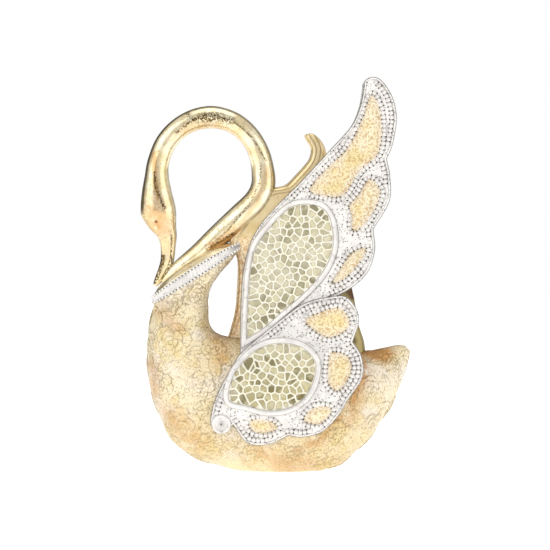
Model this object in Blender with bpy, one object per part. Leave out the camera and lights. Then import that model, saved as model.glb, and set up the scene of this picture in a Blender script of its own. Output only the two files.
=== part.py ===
"""Swan figurine: one resin casting with a looped neck and two raised wings, and four panels of
crackled glass mosaic set into the wings. Every size below is in millimetres. The origin lies on
the surface that the swan stands on, under its middle; the swan faces -X and +Z is up."""

import math
import random

import bmesh
import bpy
from mathutils import Vector
from mathutils.bvhtree import BVHTree

MM = 0.001

# Body, from the tail to the collar. Each rib is a rounded section: the belly end (X, Z), the back
# end (X, Z), half the width, and how far its sides bow towards the head.
BODY_RIBS = (
    ((83.6, 74.0), (80.5, 77.4), 1.6, 0.0),
    ((82.4, 66.4), (76.0, 78.0), 4.5, 0.0),
    ((78.0, 53.2), (68.0, 76.5), 10.5, 0.0),
    ((69.4, 36.0), (58.5, 74.5), 18.5, 0.0),
    ((56.0, 17.3), (47.5, 73.0), 26.5, 0.0),
    ((38.4, 3.1), (34.0, 74.5), 33.0, 0.0),
    ((15.5, -2.0), (15.5, 77.0), 36.5, 0.0),
    ((-6.5, -2.0), (-4.5, 79.5), 37.0, 0.0),
    ((-27.0, 0.5), (-20.0, 82.0), 36.5, 0.0),
    ((-48.2, 7.2), (-30.5, 83.0), 35.0, 0.0),
    ((-62.6, 17.4), (-37.5, 86.0), 32.5, 0.0),
    ((-73.2, 35.8), (-41.5, 92.0), 29.5, 0.0),
    ((-79.0, 56.0), (-41.5, 100.5), 26.0, 0.0),
    ((-79.5, 74.5), (-41.0, 108.5), 22.5, 0.0),
    ((-78.0, 90.0), (-36.5, 118.5), 19.0, -1.0),
    ((-76.3, 98.6), (-28.6, 129.4), 16.2, -2.4),
)
BODY_SQUARENESS = 2.35
RIB_SIDES = 24
RIB_STEPS = 2

# Roses of the cast relief, the same on both flanks: middle (X, Z) seen from the side, and radius
ROSES = (
    ((-64.0, 80.0), 12.0),
    ((-56.0, 29.0), 11.5),
    ((-45.0, 55.0), 8.5),
    ((-70.0, 54.0), 8.5),
    ((-14.0, 10.5), 8.5),
    ((12.0, 10.5), 8.0),
    ((37.0, 21.0), 11.5),
    ((59.0, 50.0), 10.0),
    ((72.0, 66.0), 7.0),
)
ROSE_PETALS = 4
ROSE_SCALLOP = 0.1
ROSE_SIDE_REACH = 60.0
ROSE_LOWEST = 0.4
# Share of the rose's radius and height over the skin, from its sunk rim to the edge of the bud
ROSE_PROFILE = ((1.0, -1.0), (0.96, 0.7), (0.52, 0.35), (0.42, 1.2))

# Collar band: a raised silver strip round the slanted top of the chest
BAND_LOWER = ((-75.4, 103.6), (-22.0, 137.6), 15.0, -1.4)
BAND_UPPER = ((-75.4, 107.6), (-22.4, 140.8), 12.8, 2.0)
BAND_RISE = 0.9

# Gold root of the neck, which closes the collar: share of the band's size, and height above it
COLLAR_DOME = ((0.93, 1.6), (0.8, 3.6), (0.6, 5.2), (0.35, 6.2), (0.12, 6.6))

# Neck, head and beak: centre (X, Z) and radius from the root, over the top, to the beak's tip
NECK_POINTS = (
    (-69.5, 116.8, 2.6),
    (-60.5, 124.4, 4.9),
    (-48.0, 133.6, 6.2),
    (-36.0, 144.5, 7.1),
    (-21.5, 157.5, 7.7),
    (-10.5, 168.0, 7.9),
    (-7.0, 181.0, 7.3),
    (-12.0, 201.5, 6.4),
    (-25.0, 215.0, 6.6),
    (-41.0, 218.8, 7.0),
    (-56.5, 214.2, 6.5),
    (-67.5, 203.5, 6.6),
    (-72.3, 191.5, 6.7),
    (-73.5, 183.0, 7.3),
    (-73.5, 173.5, 9.0),
    (-72.7, 164.0, 10.7),
    (-72.2, 158.0, 10.9),
    (-70.0, 151.0, 8.6),
    (-67.0, 145.0, 6.1),
    (-66.4, 137.5, 4.6),
    (-67.0, 129.5, 4.1),
    (-69.8, 122.6, 3.4),
    (-72.8, 117.4, 2.4),
    (-74.8, 114.4, 1.1),
)
NECK_STEPS = 2
NECK_SIDES_SETTING = 4
HEAD_TOP_HEIGHT = 186.0
HEAD_WIDEST_HEIGHT = 160.0
HEAD_WIDTH_SHARE = 0.76
HEAD_REAR = -65.3

# Gold plume between the wings: front end, rear end and half the thickness of each section
PLUME_RIBS = (
    ((17.9, 207.3), (19.3, 208.2), 0.9, 0.0),
    ((18.8, 204.6), (23.2, 208.4), 2.4, 0.0),
    ((21.0, 201.2), (27.7, 204.9), 3.4, 0.0),
    ((22.0, 197.8), (31.0, 199.0), 4.0, 0.0),
    ((21.0, 193.4), (32.4, 190.4), 4.4, 0.0),
    ((18.4, 189.4), (34.6, 179.8), 4.8, 0.0),
    ((12.8, 183.2), (37.6, 167.4), 5.2, 0.0),
    ((5.4, 176.4), (41.4, 151.9), 5.5, 0.0),
    ((-8.2, 173.0), (43.8, 136.4), 5.5, 0.0),
    ((-19.0, 160.0), (45.7, 124.0), 5.5, 0.0),
    ((-29.0, 145.0), (47.6, 112.4), 5.5, 0.0),
    ((-25.6, 136.4), (49.4, 104.2), 5.5, 0.0),
    ((-23.4, 128.0), (50.2, 98.6), 5.5, 0.0),
    ((-23.8, 112.0), (50.9, 92.6), 6.0, 0.0),
    ((-25.2, 98.0), (53.2, 85.6), 7.0, 0.0),
    ((-28.0, 87.0), (55.4, 77.8), 8.5, 0.0),
    ((-31.0, 74.0), (55.0, 68.0), 9.0, 0.0),
    ((-24.0, 56.0), (46.0, 56.0), 9.0, 0.0),
)
PLUME_SQUARENESS = 3.0
PLUME_SIDES = 14
PLUME_STEPS = 1

# Wing outlines (X, Z), seen from the side; a third value of 1 marks a sharp notch or corner
UPPER_WING = (
    (-21.5, 73, 1), (-21.5, 93), (-20.5, 118), (-17, 136.5), (-10.5, 150.5), (0, 163), (15.5, 178.5),
    (34, 198.5), (46.5, 212.5), (51.8, 224), (54, 235), (54.8, 240.2), (59.4, 242.6), (64.7, 240.7),
    (70.6, 232.5), (73.6, 223), (74, 214), (71.5, 200.5), (68, 192, 1), (70, 181.5), (69.4, 166),
    (59.6, 149.2, 1), (60.4, 136), (55.2, 122), (43, 111.5), (31, 105.5, 1),
)
LOWER_WING = (
    (-26, 66.5), (-22, 73), (-12, 82), (3, 94), (17, 104), (31, 108), (42.5, 108.5), (49.5, 100.5),
    (50.5, 92), (47, 81, 1), (52.5, 72), (53, 59), (44, 45.5, 1), (39, 37), (29, 26.5), (17, 23),
    (8, 24, 1), (-4.5, 18.5), (-17, 19.5), (-25.5, 30.5, 1), (-33, 25), (-39.2, 31), (-37.5, 43.5),
    (-32.5, 55),
)
UPPER_PANEL = (
    (-17.5, 82.5, 1), (-17, 102.5), (-15.5, 124), (-11.5, 139.5), (-2, 152), (9, 162.5), (20.5, 164.5),
    (30, 161), (34.5, 151), (34.5, 136.5), (29, 124), (18, 111), (3, 98), (-8, 88.5),
)
LOWER_PANEL = (
    (-28, 46), (-26, 59), (-20, 68.5), (-10.5, 76.5), (2, 80), (15, 78), (23.5, 70.5), (24, 61),
    (19, 49), (9, 41.5), (-4.5, 39.5), (-17, 42.5),
)
UPPER_CELLS = (
    ((58.8, 231.5), (64.2, 221.5), (65, 206), (62, 194), (51.5, 185), (41.5, 170), (29, 170),
     (21, 173.5), (31, 186), (44.5, 199.5), (53, 216)),
    ((57.5, 180), (64, 172.5), (61, 162.5), (53, 151), (47, 148.5), (46.5, 158), (45, 163.5),
     (51, 170.5)),
    ((55, 138), (52, 130), (42.5, 119.5), (34.5, 116.5), (39.5, 125), (46, 134.5)),
)
LOWER_CELLS = (
    ((18.5, 94), (27.5, 99), (39, 101.5), (45, 94), (42.5, 87.5), (32.5, 83.5), (23, 88)),
    ((34, 74.5), (43, 73), (46.5, 65.5), (43, 56), (37.5, 51), (32, 56), (32, 67)),
    ((17, 33.5), (23, 41), (32.5, 41.5), (33.5, 37), (26.5, 31)),
    ((-15, 33.5), (-8, 34), (0, 31.5), (0.5, 27.5), (-8, 25.5), (-15, 28)),
)
WING_THICKNESS = 6.0
TIER_RISE = 2.4
FRAME_WIDTH = 3.2
FRAME_RISE = 0.8
FRAME_ROOT = 1.0
CELL_DEPTH = 1.0
POCKET_DEPTH = 2.3
TOOL_REACH = 6.0
SCROLL_CENTRE = (-32.8, 31.0)
SCROLL_RADIUS = 5.6
SCROLL_GROOVE = 3.7
SCROLL_GROOVE_DEPTH = 0.5
SCROLL_BEAD = 1.5
SCROLL_SIDES = 16
FRAME_EDGE_MARGIN = 0.4
OUTLINE_STEPS = 2

# How the wings stand. The front edges meet the plume, the rear edges spread, the tips curl out,
# and the lower tier follows the round flank of the body.
EDGE_LINE_START = (-20.0, 130.0)
EDGE_LINE_LEAN = 0.72
EDGE_Y = 8.4
SPREAD = 0.36
TIP_CURL_START = 165.0
TIP_CURL = 0.0016
FLANK_Y = 38.0
FLANK_CENTRE = (-5.0, 45.0)
FLANK_CURVE = (0.0020, 0.0060)
FLANK_TOP = 55.0
SPREAD_BOTTOM = 115.0
ROOT_THICKENING = 10.0
ROOT_TOP = 100.0
ROOT_FADE = 40.0
ROOT_REAR = 50.0
ROOT_REAR_FADE = 25.0
BEND_CUTS_X = (-20, 0, 20, 40)
BEND_CUTS_Z = (34, 50, 60, 69, 78, 87, 96, 106, 116, 175, 197, 219)

# Mosaic panels: a grout bed with raised glass chips, loose in its pocket by a small gap
PANEL_GAP = 0.3
BED_THICKNESS = 1.25
CHIP_RISE = 0.75
CHIP_SINK = 0.4
CHIP_SPACING = 12.0
CHIP_JITTER = 0.33
GROUT_LINE = 1.3
PANEL_MARGIN = 0.7
MOSAIC_SEED = 7


def clear_scene():
    for item in list(bpy.data.objects):
        bpy.data.objects.remove(item, do_unlink=True)


def new_collection(name, hidden):
    collection = bpy.data.collections.new(name)
    bpy.context.scene.collection.children.link(collection)
    collection.hide_render = hidden
    return collection


def principled(name, colour, roughness, metallic):
    material = bpy.data.materials.new(name)
    material.use_nodes = True
    shader = material.node_tree.nodes["Principled BSDF"]
    shader.inputs["Base Color"].default_value = (*colour, 1.0)
    shader.inputs["Roughness"].default_value = roughness
    shader.inputs["Metallic"].default_value = metallic
    return material


def mesh_object(name, mesh, collection, material):
    item = bpy.data.objects.new(name, mesh)
    collection.objects.link(item)
    mesh.materials.clear()
    mesh.materials.append(material)
    return item


def blend(value):
    """Smooth step from 0 to 1."""
    value = min(1.0, max(0.0, value))
    return value * value * (3 - 2 * value)


def between(p0, p1, p2, p3, t):
    """Catmull-Rom value between p1 and p2."""
    squared = (2 * p0 - 5 * p1 + 4 * p2 - p3) * t * t
    cubed = (3 * p1 - p0 - 3 * p2 + p3) * t**3
    return 0.5 * (2 * p1 + (p2 - p0) * t + squared + cubed)


# Lofted forms: the body with its collar, and the plume


def rib_values(rib):
    (belly_x, belly_z), (back_x, back_z), half_width, bow = rib
    return [belly_x, belly_z, back_x, back_z, half_width, bow]


def smooth_ribs(ribs, steps):
    """The ribs with steps - 1 more between each pair, on smooth curves."""
    rows = [rib_values(rib) for rib in ribs]
    found = []
    for index in range(len(rows) - 1):
        before = rows[max(index - 1, 0)]
        after = rows[min(index + 2, len(rows) - 1)]
        for step in range(steps):
            t = step / steps
            found.append([between(*four, t) for four in zip(before, rows[index], rows[index + 1], after)])
    found.append(rows[-1])
    return found


def grown(row, rise):
    """A rib made larger all round by rise."""
    belly = Vector((row[0], row[1]))
    back = Vector((row[2], row[3]))
    along = (belly - back).normalized() * rise
    return [*(belly + along), *(back - along), row[4] + rise, row[5]]


def shrunk(row, share, lift):
    """A rib made smaller by a share and lifted off its own plane, for a domed end."""
    belly = Vector((row[0], row[1]))
    back = Vector((row[2], row[3]))
    middle = (belly + back) / 2
    along = (belly - back).normalized()
    raised = middle + Vector((-along.y, along.x)) * -lift
    half = (belly - back) / 2 * share
    return [*(raised + half), *(raised - half), row[4] * share, row[5] * share]


def rib_ring(row, squareness, sides):
    """The points of one rounded section."""
    belly = Vector((row[0], 0, row[1]))
    back = Vector((row[2], 0, row[3]))
    middle = (belly + back) / 2
    half = (belly - back) / 2
    across = half.normalized()
    headward = Vector((across.z, 0, -across.x))
    ring = []
    for index in range(sides):
        angle = 2 * math.pi * index / sides
        cosine, sine = math.cos(angle), math.sin(angle)
        lengthwise = math.copysign(abs(cosine) ** (2 / squareness), cosine)
        sideways = math.copysign(abs(sine) ** (2 / squareness), sine)
        point = middle + half * lengthwise
        point.y += row[4] * sideways
        point += headward * row[5] * sideways * sideways
        ring.append(point * MM)
    return ring


def loft(name, rows, squareness, sides):
    """A closed skin over the rings of all the ribs."""
    shape = bmesh.new()
    rings = [[shape.verts.new(point) for point in rib_ring(row, squareness, sides)] for row in rows]
    for lower, upper in zip(rings, rings[1:]):
        for side in range(sides):
            after = (side + 1) % sides
            shape.faces.new((lower[side], lower[after], upper[after], upper[side]))
    shape.faces.new(rings[0])
    shape.faces.new(rings[-1])
    bmesh.ops.recalc_face_normals(shape, faces=shape.faces)
    mesh = bpy.data.meshes.new(name)
    shape.to_mesh(mesh)
    shape.free()
    return mesh


def body_mesh():
    """Body and chest up to the collar, with the raised band and a low dome under the neck. The
    underside is cut flat where it stands."""
    rows = smooth_ribs(BODY_RIBS, RIB_STEPS)
    lower = rib_values(BAND_LOWER)
    upper = rib_values(BAND_UPPER)
    rows += [lower, grown(lower, BAND_RISE), grown(upper, BAND_RISE), upper]
    rows += [shrunk(upper, share, lift) for share, lift in COLLAR_DOME]
    mesh = loft("body", rows, BODY_SQUARENESS, RIB_SIDES)
    shape = bmesh.new()
    shape.from_mesh(mesh)
    everything = shape.verts[:] + shape.edges[:] + shape.faces[:]
    cut = bmesh.ops.bisect_plane(
        shape, geom=everything, plane_co=(0, 0, 0), plane_no=(0, 0, -1), clear_outer=True
    )
    rim = [item for item in cut["geom_cut"] if isinstance(item, bmesh.types.BMEdge)]
    bmesh.ops.contextual_create(shape, geom=rim)
    bmesh.ops.recalc_face_normals(shape, faces=shape.faces)
    shape.to_mesh(mesh)
    shape.free()
    return mesh


def laid_on_skin(tree, place, normal, height):
    """The place on the skin straight under a point, raised off the skin by height."""
    found = tree.ray_cast(place + normal * ROSE_SIDE_REACH * MM, -normal)[0]
    if found is None:
        found = tree.find_nearest(place)[0]
    raised = found + normal * height * MM
    raised.z = max(raised.z, ROSE_LOWEST * MM)
    return raised


def roses_mesh(body):
    """The left flank's roses: each is a scalloped dish of petals with a raised bud."""
    skin = bmesh.new()
    skin.from_mesh(body)
    tree = BVHTree.FromBMesh(skin)
    skin.free()
    shape = bmesh.new()
    points = 2 * ROSE_PETALS
    for (x, z), radius in ROSES:
        start = Vector((x, -ROSE_SIDE_REACH, z)) * MM
        middle, normal = tree.ray_cast(start, Vector((0, 1, 0)))[:2]
        up = (Vector((0, 0, 1)) - normal * normal.z).normalized()
        right = up.cross(normal)
        rings = []
        for share, height in ROSE_PROFILE:
            ring = []
            for index in range(points):
                angle = 2 * math.pi * index / points
                reach = radius * share * (1 - ROSE_SCALLOP * (index % 2)) * MM
                place = middle + (right * math.cos(angle) + up * math.sin(angle)) * reach
                ring.append(shape.verts.new(laid_on_skin(tree, place, normal, height)))
            rings.append(ring)
        for lower, upper in zip(rings, rings[1:]):
            for index in range(points):
                after = (index + 1) % points
                shape.faces.new((lower[index], lower[after], upper[after], upper[index]))
        shape.faces.new(rings[0])
        shape.faces.new(rings[-1])
    bmesh.ops.recalc_face_normals(shape, faces=shape.faces)
    mesh = bpy.data.meshes.new("left_roses")
    shape.to_mesh(mesh)
    shape.free()
    return mesh


def evaluated_mesh(item):
    """The mesh that Blender makes of a curve, or of a mesh with its modifiers."""
    graph = bpy.context.evaluated_depsgraph_get()
    graph.update()
    return bpy.data.meshes.new_from_object(item.evaluated_get(graph))


def curve_mesh(name, curve):
    """A curve's mesh, with its caps welded to its sides."""
    item = bpy.data.objects.new(name, curve)
    bpy.context.scene.collection.objects.link(item)
    mesh = evaluated_mesh(item)
    bpy.data.objects.remove(item, do_unlink=True)
    shape = bmesh.new()
    shape.from_mesh(mesh)
    bmesh.ops.remove_doubles(shape, verts=shape.verts, dist=1e-6)
    bmesh.ops.recalc_face_normals(shape, faces=shape.faces)
    shape.to_mesh(mesh)
    shape.free()
    mesh.name = name
    return mesh


def neck_mesh():
    """Neck, head and beak as one tapering tube, narrower from side to side at the head."""
    curve = bpy.data.curves.new("neck", "CURVE")
    curve.dimensions = "3D"
    curve.bevel_depth = 1.0
    curve.bevel_resolution = NECK_SIDES_SETTING
    curve.resolution_u = NECK_STEPS
    curve.use_fill_caps = True
    spline = curve.splines.new("BEZIER")
    spline.bezier_points.add(len(NECK_POINTS) - 1)
    for point, (x, z, radius) in zip(spline.bezier_points, NECK_POINTS):
        point.co = Vector((x, 0, z)) * MM
        point.radius = radius * MM
        point.handle_left_type = "AUTO"
        point.handle_right_type = "AUTO"
    mesh = curve_mesh("neck", curve)
    for vertex in mesh.vertices:
        if vertex.co.x < HEAD_REAR * MM:
            height = vertex.co.z / MM
            share = blend((HEAD_TOP_HEIGHT - height) / (HEAD_TOP_HEIGHT - HEAD_WIDEST_HEIGHT))
            vertex.co.y *= 1 - (1 - HEAD_WIDTH_SHARE) * share
    return mesh


# Wings: modelled lying flat, with X along the swan, Y its height and Z out of the wing's face,
# then stood up and bent into place


def smooth_outline(points):
    """A closed outline through the points, rounded except at the marked corners."""
    steps = OUTLINE_STEPS
    count = len(points)
    found = []
    for index in range(count):
        here = Vector(points[index][:2])
        after = Vector(points[(index + 1) % count][:2])
        before = here * 2 - after if len(points[index]) > 2 else Vector(points[index - 1][:2])
        corner = len(points[(index + 1) % count]) > 2
        beyond = after * 2 - here if corner else Vector(points[(index + 2) % count][:2])
        found += [between(before, here, after, beyond, step / steps) for step in range(steps)]
    return found


def area_sign(outline):
    total = sum(a.x * b.y - b.x * a.y for a, b in zip(outline, outline[1:] + outline[:1]))
    return math.copysign(1.0, total)


def offset_outline(outline, distance):
    """The outline moved outwards by a distance, or inwards where that is negative."""
    turn = area_sign(outline)
    found = []
    for index, here in enumerate(outline):
        before = (here - outline[index - 1]).normalized()
        after = (outline[(index + 1) % len(outline)] - here).normalized()
        first = Vector((before.y, -before.x)) * turn
        second = Vector((after.y, -after.x)) * turn
        middle = (first + second).normalized()
        found.append(here + middle * distance / max(0.5, middle.dot(first)))
    return found


def prism(name, outlines, low, high):
    """Flat outlines filled and extruded from low to high."""
    curve = bpy.data.curves.new(name, "CURVE")
    curve.dimensions = "2D"
    curve.fill_mode = "BOTH"
    curve.extrude = (high - low) / 2 * MM
    for outline in outlines:
        spline = curve.splines.new("POLY")
        spline.use_cyclic_u = True
        spline.points.add(len(outline) - 1)
        for point, place in zip(spline.points, outline):
            point.co = (place.x * MM, place.y * MM, 0, 1)
    mesh = curve_mesh(name, curve)
    for vertex in mesh.vertices:
        vertex.co.z += (low + high) / 2 * MM
    return mesh


def circle(centre, radius, sides):
    angles = [2 * math.pi * (index + 0.5) / sides for index in range(sides)]
    return [Vector((centre[0] + radius * math.cos(a), centre[1] + radius * math.sin(a))) for a in angles]


def combine(target, other, operation):
    modifier = target.modifiers.new(other.name, "BOOLEAN")
    modifier.operation = operation
    modifier.solver = "EXACT"
    modifier.material_mode = "TRANSFER"
    modifier.object = other


def settled(item, helpers):
    """The item's mesh with its Booleans applied. The helpers and the item itself are removed."""
    mesh = evaluated_mesh(item)
    for helper in [item, *helpers]:
        bpy.data.objects.remove(helper, do_unlink=True)
    shape = bmesh.new()
    shape.from_mesh(mesh)
    bmesh.ops.remove_doubles(shape, verts=shape.verts, dist=1e-6)
    flat = math.radians(0.05)
    bmesh.ops.dissolve_limit(
        shape, angle_limit=flat, verts=shape.verts, edges=shape.edges, delimit={"MATERIAL"}
    )
    shape.to_mesh(mesh)
    shape.free()
    return mesh


def face_depth(x, height):
    """How far the wing's face stands from the swan's middle plane at a place on the wing."""
    start_x, start_height = EDGE_LINE_START
    behind_edge = x - start_x - EDGE_LINE_LEAN * (height - start_height)
    curl = TIP_CURL * max(0.0, height - TIP_CURL_START) ** 2
    raised = EDGE_Y + SPREAD * behind_edge + curl
    flank = FLANK_Y - FLANK_CURVE[0] * (x - FLANK_CENTRE[0]) ** 2
    flank -= FLANK_CURVE[1] * (height - FLANK_CENTRE[1]) ** 2
    share = blend((height - FLANK_TOP) / (SPREAD_BOTTOM - FLANK_TOP))
    return raised * share + flank * (1 - share)


def root_depth(x, height):
    """How much thicker the wing is where it grows out of the body."""
    low = blend((ROOT_TOP - height) / ROOT_FADE)
    front = blend((ROOT_REAR - x) / ROOT_REAR_FADE)
    return ROOT_THICKENING * low * front


def stand_up(mesh):
    """Cuts the flat mesh along the lines where it bends, and moves it to its place on the left."""
    shape = bmesh.new()
    shape.from_mesh(mesh)
    cuts = [((x * MM, 0, 0), (1, 0, 0)) for x in BEND_CUTS_X]
    cuts += [((0, z * MM, 0), (0, 1, 0)) for z in BEND_CUTS_Z]
    for place, normal in cuts:
        everything = shape.verts[:] + shape.edges[:] + shape.faces[:]
        bmesh.ops.bisect_plane(shape, geom=everything, plane_co=place, plane_no=normal, dist=1e-7)
    inner_side = (0.05 - WING_THICKNESS) * MM
    for vertex in shape.verts:
        x, height, out = vertex.co
        depth = face_depth(x / MM, height / MM) * MM + out
        if out < inner_side:
            depth -= root_depth(x / MM, height / MM) * MM
        vertex.co = (x, -depth, height)
    bmesh.ops.triangulate(shape, faces=shape.faces)
    shape.to_mesh(mesh)
    shape.free()
    return mesh


def mirrored(mesh):
    """A copy of a left-hand mesh for the right-hand side."""
    copy = mesh.copy()
    shape = bmesh.new()
    shape.from_mesh(copy)
    for vertex in shape.verts:
        vertex.co.y = -vertex.co.y
    bmesh.ops.reverse_faces(shape, faces=shape.faces)
    shape.to_mesh(copy)
    shape.free()
    return copy


def wing_mesh(helpers, silver, gold):
    """The left wing's casting: two overlapping tiers of feathers with sunk cells, two framed
    pockets for the mosaics, and the scroll at the lower front corner."""
    upper_outline = smooth_outline(UPPER_WING)
    lower_outline = smooth_outline(LOWER_WING)
    upper_panel = smooth_outline(UPPER_PANEL)
    lower_panel = smooth_outline(LOWER_PANEL)
    tier = TIER_RISE
    top = tier + FRAME_RISE
    rooted = tier - FRAME_ROOT
    groove_floor = tier - SCROLL_GROOVE_DEPTH

    def solid(name, outlines, low, high, material):
        return mesh_object(name, prism(name, outlines, low, high), helpers, material)

    def frame_ring(name, panel, outline, low, high):
        """The raised frame round a mosaic, kept within its own tier's edge."""
        ring = solid(name, [offset_outline(panel, FRAME_WIDTH)], low, high, silver)
        inset = offset_outline(outline, -FRAME_EDGE_MARGIN)
        limit = solid(name + "_limit", [inset], low - FRAME_RISE, high + FRAME_RISE, silver)
        combine(ring, limit, "INTERSECT")
        limits.append(limit)
        return ring

    limits = []
    scroll_outer = circle(SCROLL_CENTRE, SCROLL_RADIUS, SCROLL_SIDES)
    scroll_groove = circle(SCROLL_CENTRE, SCROLL_GROOVE, SCROLL_SIDES)
    scroll_bead = circle(SCROLL_CENTRE, SCROLL_BEAD, SCROLL_SIDES // 2)
    wing = solid("upper_tier", [upper_outline], -WING_THICKNESS, 0, silver)
    added = [
        solid("lower_tier", [lower_outline], -WING_THICKNESS, tier, silver),
        frame_ring("upper_frame", upper_panel, upper_outline, -FRAME_ROOT, FRAME_RISE),
        frame_ring("lower_frame", lower_panel, lower_outline, rooted, top),
        solid("scroll", [scroll_outer], rooted, top, silver),
    ]
    upper_cells = [smooth_outline(cell) for cell in UPPER_CELLS]
    lower_cells = [smooth_outline(cell) for cell in LOWER_CELLS]
    removed = [
        solid("upper_cells", upper_cells, -CELL_DEPTH, TOOL_REACH, gold),
        solid("lower_cells", lower_cells, tier - CELL_DEPTH, TOOL_REACH, gold),
        solid("upper_pocket", [upper_panel], -POCKET_DEPTH, TOOL_REACH, silver),
        solid("lower_pocket", [lower_panel], tier - POCKET_DEPTH, TOOL_REACH, silver),
        solid("scroll_groove", [scroll_groove], groove_floor, TOOL_REACH, silver),
    ]
    bead = solid("scroll_bead", [scroll_bead], rooted, top, silver)
    for item in added:
        combine(wing, item, "UNION")
    for item in removed:
        combine(wing, item, "DIFFERENCE")
    combine(wing, bead, "UNION")
    return stand_up(settled(wing, [*added, *removed, *limits, bead]))


def inside(outline, place):
    """Whether a place lies within an outline."""
    found = False
    for a, b in zip(outline, outline[1:] + outline[:1]):
        if (a.y > place.y) != (b.y > place.y):
            found ^= place.x < (b.x - a.x) * (place.y - a.y) / (b.y - a.y) + a.x
    return found


def clipped(polygon, point, normal):
    """The part of a polygon behind a line."""
    kept = []
    for start, end in zip(polygon, polygon[1:] + polygon[:1]):
        a = (start - point).dot(normal)
        b = (end - point).dot(normal)
        if a <= 0:
            kept.append(start)
        if a * b < 0:
            kept.append(start.lerp(end, a / (a - b)))
    return kept


def chip_outlines(outline, draws):
    """Irregular chips: each is the area nearest to its own centre, less half a grout line."""
    low_x, high_x = min(p.x for p in outline), max(p.x for p in outline)
    low_y, high_y = min(p.y for p in outline), max(p.y for p in outline)
    row_step = CHIP_SPACING * math.sqrt(3) / 2
    centres = []
    for row in range(int((high_y - low_y) / row_step) + 2):
        for column in range(int((high_x - low_x) / CHIP_SPACING) + 2):
            shift = CHIP_SPACING / 2 * (row % 2)
            place = Vector((low_x + column * CHIP_SPACING - shift, low_y + row * row_step))
            wander = Vector((draws.uniform(-1, 1), draws.uniform(-1, 1))) * CHIP_SPACING * CHIP_JITTER
            if inside(offset_outline(outline, -CHIP_SPACING / 4), place + wander):
                centres.append(place + wander)
    reach = CHIP_SPACING
    chips = []
    for centre in centres:
        corners = ((-reach, -reach), (reach, -reach), (reach, reach), (-reach, reach))
        chip = [centre + Vector(corner) for corner in corners]
        for other in centres:
            away = other - centre
            if 0 < away.length < 3 * CHIP_SPACING and chip:
                normal = away.normalized()
                chip = clipped(chip, centre + away / 2 - normal * GROUT_LINE / 2, normal)
        if len(chip) > 2:
            chips.append(chip)
    return chips


def mosaic_mesh(name, panel, level, helpers, glass, draws):
    """One mosaic: its bed of grout with the chips standing up from it."""
    pocket = smooth_outline(panel)
    outline = offset_outline(pocket, -PANEL_GAP)
    floor = level - POCKET_DEPTH + PANEL_GAP
    bed_top = floor + BED_THICKNESS
    bed = mesh_object(name, prism(name, [outline], floor, bed_top), helpers, glass)
    chip_low = bed_top - CHIP_SINK
    chip_high = bed_top + CHIP_RISE
    chips_flat = prism("chips", chip_outlines(outline, draws), chip_low, chip_high)
    chips = mesh_object("chips", chips_flat, helpers, glass)
    trim_outline = offset_outline(outline, -PANEL_MARGIN)
    trim = mesh_object("trim", prism("trim", [trim_outline], floor, chip_high + CHIP_RISE), helpers, glass)
    combine(chips, trim, "INTERSECT")
    combine(bed, chips, "UNION")
    return stand_up(settled(bed, [chips, trim]))


def build_swan():
    clear_scene()
    parts = new_collection("swan_figurine", False)
    helpers = new_collection("swan_cutters", True)
    resin = principled("champagne_resin", (0.86, 0.72, 0.50), 0.5, 0.1)
    gold = principled("gold_leaf", (0.83, 0.66, 0.33), 0.3, 0.9)
    silver = principled("silver_white_frame", (0.86, 0.86, 0.90), 0.35, 0.2)
    glass = principled("crackled_glass", (0.66, 0.65, 0.46), 0.15, 0.0)

    body = body_mesh()
    casting = mesh_object("swan_casting", body, parts, resin)
    roses = roses_mesh(body)
    wing = wing_mesh(helpers, silver, gold)
    plume = loft("plume", smooth_ribs(PLUME_RIBS, PLUME_STEPS), PLUME_SQUARENESS, PLUME_SIDES)
    members = [
        mesh_object("plume", plume, helpers, gold),
        mesh_object("neck", neck_mesh(), helpers, gold),
        mesh_object("left_roses", roses, helpers, resin),
        mesh_object("right_roses", mirrored(roses), helpers, resin),
    ]
    for name, mesh in (("left_wing", wing), ("right_wing", mirrored(wing))):
        member = bpy.data.objects.new(name, mesh)
        helpers.objects.link(member)
        members.append(member)
    for member in members:
        member.hide_render = True
        member.display_type = "WIRE"
        combine(casting, member, "UNION")
        casting.modifiers[-1].use_self = member.name == "neck"

    draws = random.Random(MOSAIC_SEED)
    for name, panel, level in (("upper_mosaic", UPPER_PANEL, 0), ("lower_mosaic", LOWER_PANEL, TIER_RISE)):
        mosaic = mosaic_mesh("left_" + name, panel, level, helpers, glass, draws)
        mesh_object("left_" + name, mosaic, parts, glass)
        mesh_object("right_" + name, mirrored(mosaic), parts, glass)


build_swan()
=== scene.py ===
"""Looks of the swan figurine: a cream and gold resin swan with a gold-leafed neck, silver-white
wings with beaded cells, and crackled glass mosaics. Sizes are in millimetres unless they say so."""

import math
import random

import bmesh
import bpy
import numpy as np
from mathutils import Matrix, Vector, noise


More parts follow.
